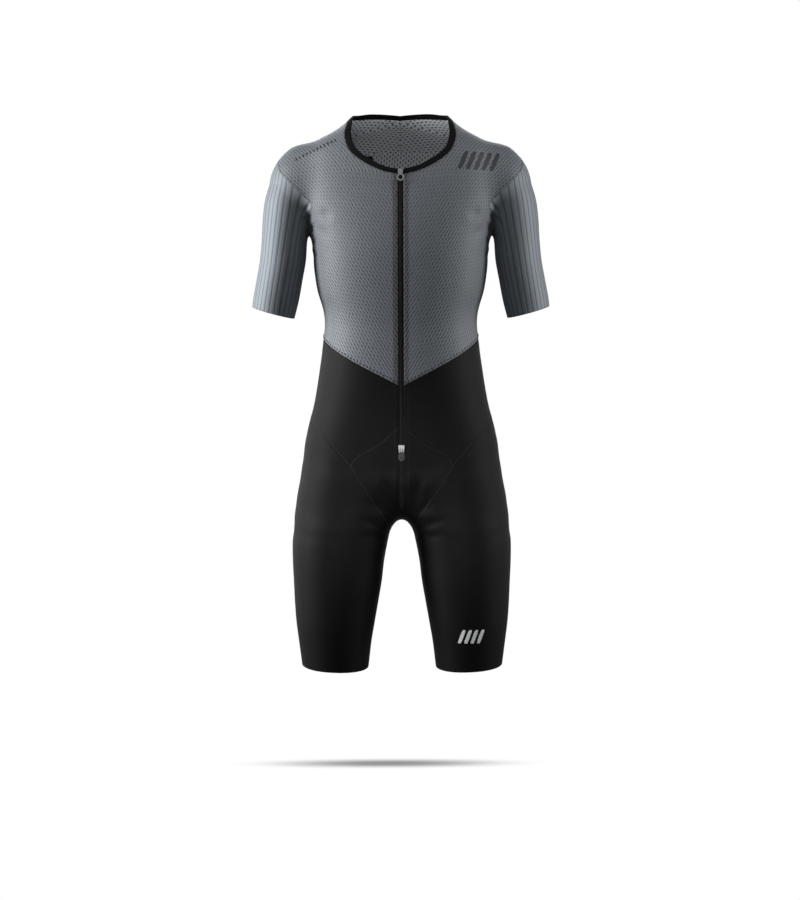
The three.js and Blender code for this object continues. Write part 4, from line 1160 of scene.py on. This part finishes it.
# Tumbled zinc is bright and soft in its shine, and its blackened kind is darker and smoother.
METAL = plain("die_cast_zinc", ("#9fa1a4", "#b9bbbe"), 0.5, metallic=0.7, grain=0.6)
BLACKENED = plain("blackened_zinc", ("#85888b", "#a2a5a8"), 0.35, metallic=1.0, grain=0.6)
TAB = plain("moulded_rubber_tab", ("#202023", "#2c2c30"), 0.55)
# Heat transfers are thin films, smoother than the cloth that they lie on.
PRINT_DARK = plain("charcoal_heat_transfer", ("#24272b", "#2f3338"), 0.6, grain=1.2, depth=0.00008)
PRINT_SILVER = plain("silver_heat_transfer", ("#d4d6d8", "#e6e7e8"), 0.4, grain=1.2)
PRINT_BLACK = plain("black_heat_transfer", ("#17181b", "#222428"), 0.5, grain=1.2)

# ---------------------------------------------------------------- panels

flat_sizes = {}


def cut_piece(coarse):
    """The flat grid of a cut piece, its width and length in metres, and its area in square metres."""
    flat = flattened(coarse)
    size = (flat.reshape(-1, 2).max(0) - flat.reshape(-1, 2).min(0)) * 0.001
    return flat, size.tolist(), flat_area(flat) * 1e-6


def place_sheet(obj, node, size, area):
    """Attaches a cloth to its body, hides its CAD node and records its cut. Its area is at most its width times
    its length.
    """
    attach(obj, "suit")
    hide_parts(node)
    flat_sizes[node] = (round(size[0], 3), round(size[1], 3), round(area, 4))


def add_panel(node, fine, coarse, finishes, closed=False, factors=(FINE, FINE), outer=0.0,
              mirror=False, values=None):
    """A panel from its fine grid. Its flat cut gives the cloth's own coordinates.
    mirror also makes the wearer's right."""
    open_grid = np.concatenate([coarse, coarse[:, :1]], axis=1) if closed else coarse
    flat, size, area = cut_piece(open_grid)
    uv = refined(flat, factors) * 0.001
    normals = normal_at(fine)
    points = inset(fine, normals, closed)
    if closed:
        points, normals = (np.concatenate([a, a[:, :1]], axis=1) for a in (points, normals))
    sides = [(f"{node}_left", 1), (f"{node}_right", -1)] if mirror else [(node, 1)]
    for name, side in sides:
        p, n = points * (side, 1, 1), normals * (side, 1, 1)
        crease = crease_height(p)
        obj = shell(f"{name}_cloth", p, n, uv, finishes, crease + outer, crease - CLOTH_WALL, closed, values)
        place_sheet(obj, name, size, area)


def both_halves(half):
    """A grid across the whole suit, from its half on the wearer's left."""
    return np.concatenate([mirrored(half[:, :0:-1]), half], axis=1)


def step(value, low, high):
    """A smooth step from 0 at low to 1 at high."""
    t = np.clip((value - low) / (high - low), 0, 1)
    return t * t * (3 - 2 * t)


FRONT_EVENINGS = 8      # few, which keeps the rows clear of the hollow neck seam


def make_fronts():
    """From the V waist seam up to the yoke, between the zip and the side, armhole and shoulder."""
    inner = chain(seam["frontEdgeTop"], seam["neckline"], seam["centreBackYoke"])
    outer = chain(seam["sideTop"][::-1], seam["armholeFront"], seam["armholeOver"], seam["armholeYoke"])
    fine, coarse = stretch_grid(seam["waistFront"], seam["yoke"], inner, outer, FRONT_EVENINGS)
    tape = step(fine[..., 0], TAPE_HALF_WIDTH + 0.6, TAPE_HALF_WIDTH - 0.6) * (fine[..., 1] < 0)
    add_panel("front", fine, coarse, (JERSEY, JERSEY_INSIDE_PAINTED_LIGHT), mirror=True, values={"over_tape": tape})


def make_back():
    """From the yoke down to the waist seam, mirrored about the centre line."""
    outer = chain(seam["armholeBack"], seam["sideTop"])
    fine, coarse = stretch_grid(seam["yoke"], seam["waistBack"], seam["centreBack"], outer)
    add_panel("back", both_halves(fine), both_halves(coarse), (JERSEY_BACK, JERSEY_BACK_INSIDE_PAINTED_LIGHT))


def make_lower_fronts():
    """From the V waist seam down to the crotch panel and the hip seam."""
    bottom = chain(seam["crotchTop"], seam["hip"])
    fine, coarse = stretch_grid(seam["waistFront"], bottom, seam["frontEdgeLow"][::-1], seam["sideLow"])
    add_panel("lower_front", fine, coarse, (LYCRA, LYCRA_INSIDE), mirror=True)


def make_crotch():
    """From the point beside the zip down and round to the crotch."""
    inner, outer = seam["crotchEdge"][::-1], seam["crotchSide"][::-1]
    fine, coarse = stretch_grid(seam["crotchTop"], seam["crotchUnder"], inner, outer)
    add_panel("crotch", fine, coarse, (LYCRA, LYCRA_INSIDE), mirror=True)


def make_seat():
    """From the waist seam down and round to the crotch, mirrored about the centre line."""
    under = seam_points("crotchUnder", 2 * STEPS["crotchUnder"])
    outer = chain(seam["sideLow"], seam["seat"][::-1])
    fine, coarse = stretch_grid(seam["waistBack"], under, seam["centreSeat"], outer)
    add_panel("seat", both_halves(fine), both_halves(coarse), (LYCRA, LYCRA_INSIDE))


def make_legs():
    """A tube from the hip, crotch and seat seams down to the hem. Its flat cut opens along the inside leg."""
    loop = chain(seam["hip"][::-1], seam["crotchSide"][::-1], seam["seat"])[:-1]
    front, back = STEPS["hip"] + STEPS["crotchSide"], STEPS["seat"]
    halves = [np.arange(steps * FINE) / (steps * FINE) / 2 for steps in (front, back)]
    turns = np.concatenate([halves[0], 0.5 + halves[1]])
    fine, coarse = stretch_tube(LEG, loop, raw_edge(HEM, turns), graded_shares(STEPS["legRows"]), (FINE, FINE))
    fine, coarse = np.roll(fine, -front * FINE, axis=1), np.roll(coarse, -front, axis=1)
    add_panel("leg", fine, coarse, (LYCRA, LYCRA_INSIDE), closed=True, mirror=True)


ARMHOLE = ("armholeFront", "armholeOver", "armholeYoke", "armholeBack")
SLEEVE_FINE = (8, 4)    # parts of each sleeve row and column
RIB_PARTS = 8           # parts of each rib round the sleeve
RIB_GROOVE = 0.11       # half width of a groove, as a share of the rib spacing


def make_sleeves():
    """A tube from the armhole to the cuff. Its ribs are flat, with a bell-shaped groove between two."""
    loop = chain(*(seam_points(name, STEPS[name], RIB_PARTS) for name in ARMHOLE))[:-1]
    turns = 0.5 - np.arange(len(loop)) / len(loop)
    shares = graded_shares(STEPS["sleeveRows"], SLEEVE_GRADING)
    fine, coarse = stretch_tube(ARM, loop, raw_edge(CUFF, turns), shares, SLEEVE_FINE)
    phase = (np.arange(fine.shape[1] + 1) / RIB_PARTS) % 1
    # rib is 0 in a groove and 1 on a rib; the sleeve's colour reads it, so the grooves get painted shade.
    rib = 1 - np.exp(-((phase - 0.5) / RIB_GROOVE) ** 2)
    rib = np.broadcast_to(rib, (len(fine), len(rib)))
    add_panel("sleeve", fine, coarse, (SATIN, SATIN_INSIDE), closed=True, factors=SLEEVE_FINE,
              outer=(rib - 0.5) * RIB_HEIGHT, mirror=True, values={"rib": rib})


# ---------------------------------------------------------------- neck binding and zip

COLLAR_WIDTH = {"front": 8.5, "side": 12, "back": 9.5, "side_from": 4, "side_to": 6}
COLLAR_CUT = 0.0105     # mean width in metres of the binding as it shows


def collar_rows(shares):
    """Lines at shares of the binding's width above the neck seam, for the wearer's left."""
    line = seam["neckline"]
    across = unit(np.cross(unit(np.gradient(line, axis=0)), normal_at(line)))
    up = across * np.sign(across[:, 2:])
    places = [0, COLLAR_WIDTH["side_from"], COLLAR_WIDTH["side_to"], STEPS["neckline"]]
    widths = [COLLAR_WIDTH[key] for key in ("front", "side", "side", "back")]
    width = np.interp(np.arange(len(line)) / FINE, places, widths)
    rows = np.stack([line + up * (share * width)[:, None] for share in shares])
    rows[:, [0, -1], 0] = line[[0, -1], 0]
    return project(rows)


def lying_uv(points):
    """Lengths along and across a strip, in metres."""
    return np.stack([travel(points, 1), travel(points)], -1) * 0.001


def strip_size(uv):
    """A strip's width and length in metres."""
    return [float(uv[..., 0].max()), float(uv[..., 1].max())]


def make_collar():
    """A band above the neck seam whose face swells as a half circle across its width."""
    shares = np.array([1.0, 0.94, 0.82, 0.66, 0.5, 0.34, 0.18, 0.06, 0.0])
    grid = both_halves(collar_rows(shares)[:, ::-1])
    normals = normal_at(grid)
    grid = inset(grid, normals)
    swell = np.sqrt(np.maximum(1 - (2 * shares - 1) ** 2, 0))[:, None] * np.ones(grid.shape[1])
    crease = crease_height(grid)
    uv = lying_uv(grid)
    top = crease + COLLAR_RISE
    obj = shell("collar_binding", grid, normals, uv, (BINDING,), top - 0.25 + 0.45 * swell,
                top - COLLAR_WALL + 0.1 - 0.2 * swell)
    size = [strip_size(uv)[0], COLLAR_CUT]
    place_sheet(obj, "collar", size, size[0] * size[1] * 0.95)


TAPE_TOP = (5, -95, -85)
TAPE_END_STEP, COIL_END_STEP = 2, 3


def zip_strip(offsets, end_step, narrowed=1.0):
    """A strip up the zip at distances from the centre line; its first coarse step widens from narrowed."""
    levels = chain(seam["crotchEdge"][end_step * FINE:], seam["frontEdgeLow"], seam["frontEdgeTop"])
    levels = np.concatenate([levels, project(np.array([TAPE_TOP], float))])
    share = narrowed + (1 - narrowed) * np.clip(np.arange(len(levels)) / FINE, 0, 1)
    x = share[:, None] * np.asarray(offsets)[None]
    y, z = (np.broadcast_to(levels[:, k, None], x.shape) for k in (1, 2))
    return project(np.stack([x, y, z], -1))


TAPE_LINES = (-1, -0.75, -0.5, -0.34, -0.17, 0, 0.17, 0.34, 0.5, 0.75, 1)     # shares of its half width
TAPE_SINK = 2.6         # how much deeper the tape's lower end lies


def make_zip():
    """The tape under both edges, the coil's core on it, and the coil's two rows of teeth."""
    top = -CLOTH_WALL - LAYER_GAP
    tape = zip_strip(np.array(TAPE_LINES) * TAPE_HALF_WIDTH, TAPE_END_STEP, 0.3)
    steps = np.arange(len(tape)) / FINE
    face = crease_height(tape) + (top - TAPE_SINK * np.clip((5 - steps) / 4, 0, 1))[:, None]
    uv = lying_uv(tape)
    obj = shell("zip_tape_woven", tape, normal_at(tape), uv, (TAPE,), face, face - TAPE_WALL)
    size = strip_size(uv)
    place_sheet(obj, "zip_tape", size, size[0] * size[1] * 0.97)
    core = zip_strip((-2.0, -1.0, 0, 1.0, 2.0), COIL_END_STEP)
    crease = crease_height(core)
    base = shell("zip_coil_core", core, normal_at(core), lying_uv(core), (COIL,), crease - 0.35,
                 crease + top + SEAM_GAP)
    line = even_points(core[:, 2], 3000)
    obj = make_mesh("zip_coil_teeth", *joined([coil_teeth(line, side) for side in (-1, 1)]), materials=(COIL,))
    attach(obj, "suit")
    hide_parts("zip_coil")
    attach(base, "suit")


COIL_PITCH = 1.75
TOOTH = {"reach": 2.1, "nose": -0.35, "radius": 0.5, "sides": 6}


def coil_teeth(line, side):
    """One side of the coil: short rounded bars across the zip, half a pitch from those of the other side."""
    places = travel(line)
    middle = points_at(np.arange(COIL_PITCH * (0.75 + 0.25 * side), places[-1] - 1, COIL_PITCH), places, line)
    normal = normal_at(middle)
    across = np.array([[side, 0, 0]]) * np.ones((len(middle), 1))
    ring = circle(normal, unit(np.cross(normal, across)), TOOTH["sides"]) * TOOTH["radius"]
    centre = middle + normal * (crease_height(middle) - 0.15)[:, None]
    nose, reach = TOOTH["nose"], TOOTH["reach"]
    stations = [(nose, 0.55), (nose + 0.3, 1.0), (reach - 0.3, 1.0), (reach, 0.6)]
    rings = np.stack([(centre + across * x)[:, None] + ring * share for x, share in stations], axis=1)
    points, quads, caps = capped(centre + across * (nose - 0.15), rings, centre + across * (reach + 0.15))
    return (points, quads, caps) if side > 0 else (points, quads[:, ::-1], caps[:, ::-1])


# ---------------------------------------------------------------- sliders and pulls

# CAD node, new piece, body, finish, slot, width of its rounded edges in millimetres
FITTINGS = [
    ("slider_top", "slider_top_cast", "suit", BLACKENED, "metal", 0.28),
    ("slider_bottom", "slider_bottom_cast", "suit", METAL, "metal", 0.3),
    ("pull_top", "pull_ring_cast", "top_pull", BLACKENED, "metal", 0.3),
    ("pull_bottom", "pull_tab_moulded", "bottom_pull", TAB, "tab", 0.3),
]


def make_fittings():
    """Copies of the solids, with their loose triangles merged and their edges rounded."""
    for node, name, body, finish, slot, width in FITTINGS:
        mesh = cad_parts[node].data.copy()
        mesh.name = name
        obj = new_object(name, mesh)
        mesh.materials.clear()
        mesh.materials.append(finish)
        weld = obj.modifiers.new("weld", "WELD")
        weld.merge_threshold = 0.00001
        flat = obj.modifiers.new("flat", "DECIMATE")
        flat.decimate_type = "DISSOLVE"
        flat.angle_limit = math.radians(2)
        bevel = obj.modifiers.new("round", "BEVEL")
        bevel.width = width * 0.001
        bevel.segments = 3
        bevel.limit_method = "ANGLE"
        bevel.angle_limit = math.radians(50)
        bevel.harden_normals = False
        bevel.use_clamp_overlap = True
        mesh.polygons.foreach_set("use_smooth", np.ones(len(mesh.polygons), bool))
        smooth = obj.modifiers.new("normals", "WEIGHTED_NORMAL")
        smooth.keep_sharp = True
        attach(obj, body)
        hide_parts(node)


def make_neck_tab():
    """A small bare woven tab inside the neck, flat under the jersey."""
    lower, upper = ([settle((x, 95, z, "y")) for x in (-61.5, -50.5)] for z in (-54, -63))
    u, v = np.linspace(0, 1, 9)[None, :, None], np.linspace(0, 1, 8)[:, None, None]
    grid = project((lower[0] * (1 - u) + lower[1] * u) * (1 - v) + (upper[0] * (1 - u) + upper[1] * u) * v)
    under = -CLOTH_WALL - LAYER_GAP
    obj = shell("neck_tab_woven", grid, normal_at(grid), lying_uv(grid), (TAPE,), under, under - TAPE_WALL)
    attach(obj, "suit")
    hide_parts("neck_tab")


# ---------------------------------------------------------------- sewing


def seam_lines(name):
    """A seam on the wearer's left and its mirror image, or one line where it crosses the centre line."""
    line = seam[name]
    if name == "centreBackYoke":
        return [line]
    if name in ("yoke", "waistBack", "crotchUnder"):
        return [np.concatenate([mirrored(line[:0:-1]), line])]
    return [line, mirrored(line)]


def beside(line, distance, side):
    """A line on the surface at a distance from another; side is a vector to its side, roughly."""
    across = unit(np.cross(unit(np.gradient(line, axis=0)), normal_at(line)))
    across *= np.sign((across * side).sum(-1, keepdims=True))
    return project(line + across * distance, 2)


def lay(line):
    """A seam's place on the creased cloth, with its normals."""
    normals = normal_at(line)
    return dressed(line, normals), normals


def seam_thread(line, radius=0.42, depth=-0.3):
    """The thread that shows in the groove of a seam."""
    points, normals = lay(line)
    return tube(points + normals * depth, normals, radius)


seam["armhole"] = chain(*(seam[name] for name in ARMHOLE))
seam["zipEdge"] = chain(seam["crotchEdge"][4 * FINE:], seam["frontEdgeLow"])

SEAM_THREADS = [
    ("seams_of_jersey", THREAD_GREY, ["armhole", "sideTop", "yoke", "centreBackYoke"]),
    ("seams_of_shorts", THREAD_BLACK, ["waistFront", "waistBack", "sideLow", "hip", "crotchTop", "crotchSide",
                                       "seat", "crotchUnder"]),
]

# name of the piece, its thread, and its rows: seam, distance from it, side of it on the wearer's left,
# and the stitches' pitch, length, radius and height
TOPSTITCH = (3.0, 2.1, 0.3, 0.15)
STITCHING = [
    ("stitches_dark_grey", THREAD_GREY, [
        ("neckline", 2.2, (0, 0, -1), (3.0, 2.0, 0.28, 0.15)),
        ("armhole", 1.8, (-1, 0, 0), (2.6, 1.7, 0.25, 0.15)),
    ]),
    ("stitches_black", THREAD_BLACK, [
        ("waistFront", 3.8, (0, 0, 1), (6.6, 4.4, 1.1, 0.3)),
        ("zipEdge", 7.0, (1, 0, 0), TOPSTITCH),
        ("hip", 2.0, (0, 0, 1), TOPSTITCH),
        ("crotchTop", 2.0, (0, 0, 1), TOPSTITCH),
        ("crotchSide", 2.0, (-1, 0, 0), TOPSTITCH),
        ("seat", 2.0, (0, 0, 1), TOPSTITCH),
        ("waistBack", 2.0, (0, 0, -1), TOPSTITCH),
    ]),
]


def make_sewing():
    """The threads in the seams, and the rows of stitches beside them."""
    pieces = []
    for piece, thread, names in SEAM_THREADS:
        pieces.append((piece, thread, [seam_thread(line) for name in names for line in seam_lines(name)]))
    for piece, thread, rows in STITCHING:
        parts = []
        for name, distance, side, stitch in rows:
            for line, way in zip(seam_lines(name), (1, -1)):
                parts.append(stitches(*lay(beside(line, distance, np.multiply(side, (way, 1, 1)))), *stitch))
        pieces.append((piece, thread, parts))
    for piece, thread, parts in pieces:
        obj = make_mesh(piece, *joined(parts), materials=(thread,))
        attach(obj, "suit")


# ---------------------------------------------------------------- plain printed marks

CORNER = 0.12           # how much the ends of a bar are drawn in


def printed_bar(place, turn, bar, slant=0.0, rows=9, columns=25):
    """A bar of ink on the cloth: a rounded parallelogram, turned about the mark's place. bar gives how far
    its middle lies across and up, its width and its height."""
    across, up, width, height = bar
    u, v = np.meshgrid(np.linspace(-1, 1, columns), np.linspace(-1, 1, rows))
    z = up + v * height / 2
    x = across + u * (1 - CORNER * np.abs(v) ** 6 * height / width) * width / 2 + slant * z
    cos, sin = math.cos(turn), math.sin(turn)
    y = np.full(x.shape, float(place[1]))
    return slide(np.stack([place[0] + cos * x - sin * z, y, place[2] + sin * x + cos * z], -1), 1, 8)


def add_mark(name, place, turn, slant, bars, finish, height=0.12):
    """Thin films of ink that follow the cloth, one for each bar."""
    for i, bar in enumerate(bars):
        grid = printed_bar(place, turn, bar, slant)
        top = crease_height(grid) + height
        obj = shell(f"{name}_{i + 1}", grid, normal_at(grid), lying_uv(grid), (finish,), top, top - 0.7)
        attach(obj, "suit")


def make_marks():
    """Five bars on the chest, four on the leg and a row of ticks on the shoulder."""
    wide = [(x, 0, 9, 32) for x in np.linspace(-28, 28, 5)]
    small = [(x, 0, 7, 26) for x in np.linspace(-17, 17, 4)]
    add_mark("chest_print", (137, -70, -70), math.radians(-4), 0.35, wide, PRINT_DARK)
    add_mark("leg_print", (124, -70, -914), 0, 0.35, small, PRINT_SILVER)
    ticks = [(x, 0, 2.6, 5.5) for x in np.linspace(-38, 38, 12)]
    add_mark("shoulder_ticks", (-148, -50, -49), math.radians(25), 0.0, ticks, PRINT_BLACK)


make_fronts()
make_back()
make_lower_fronts()
make_crotch()
make_seat()
make_legs()
make_sleeves()
make_collar()
make_zip()
make_fittings()
make_neck_tab()
make_sewing()
make_marks()

print("flat cuts", flat_sizes)
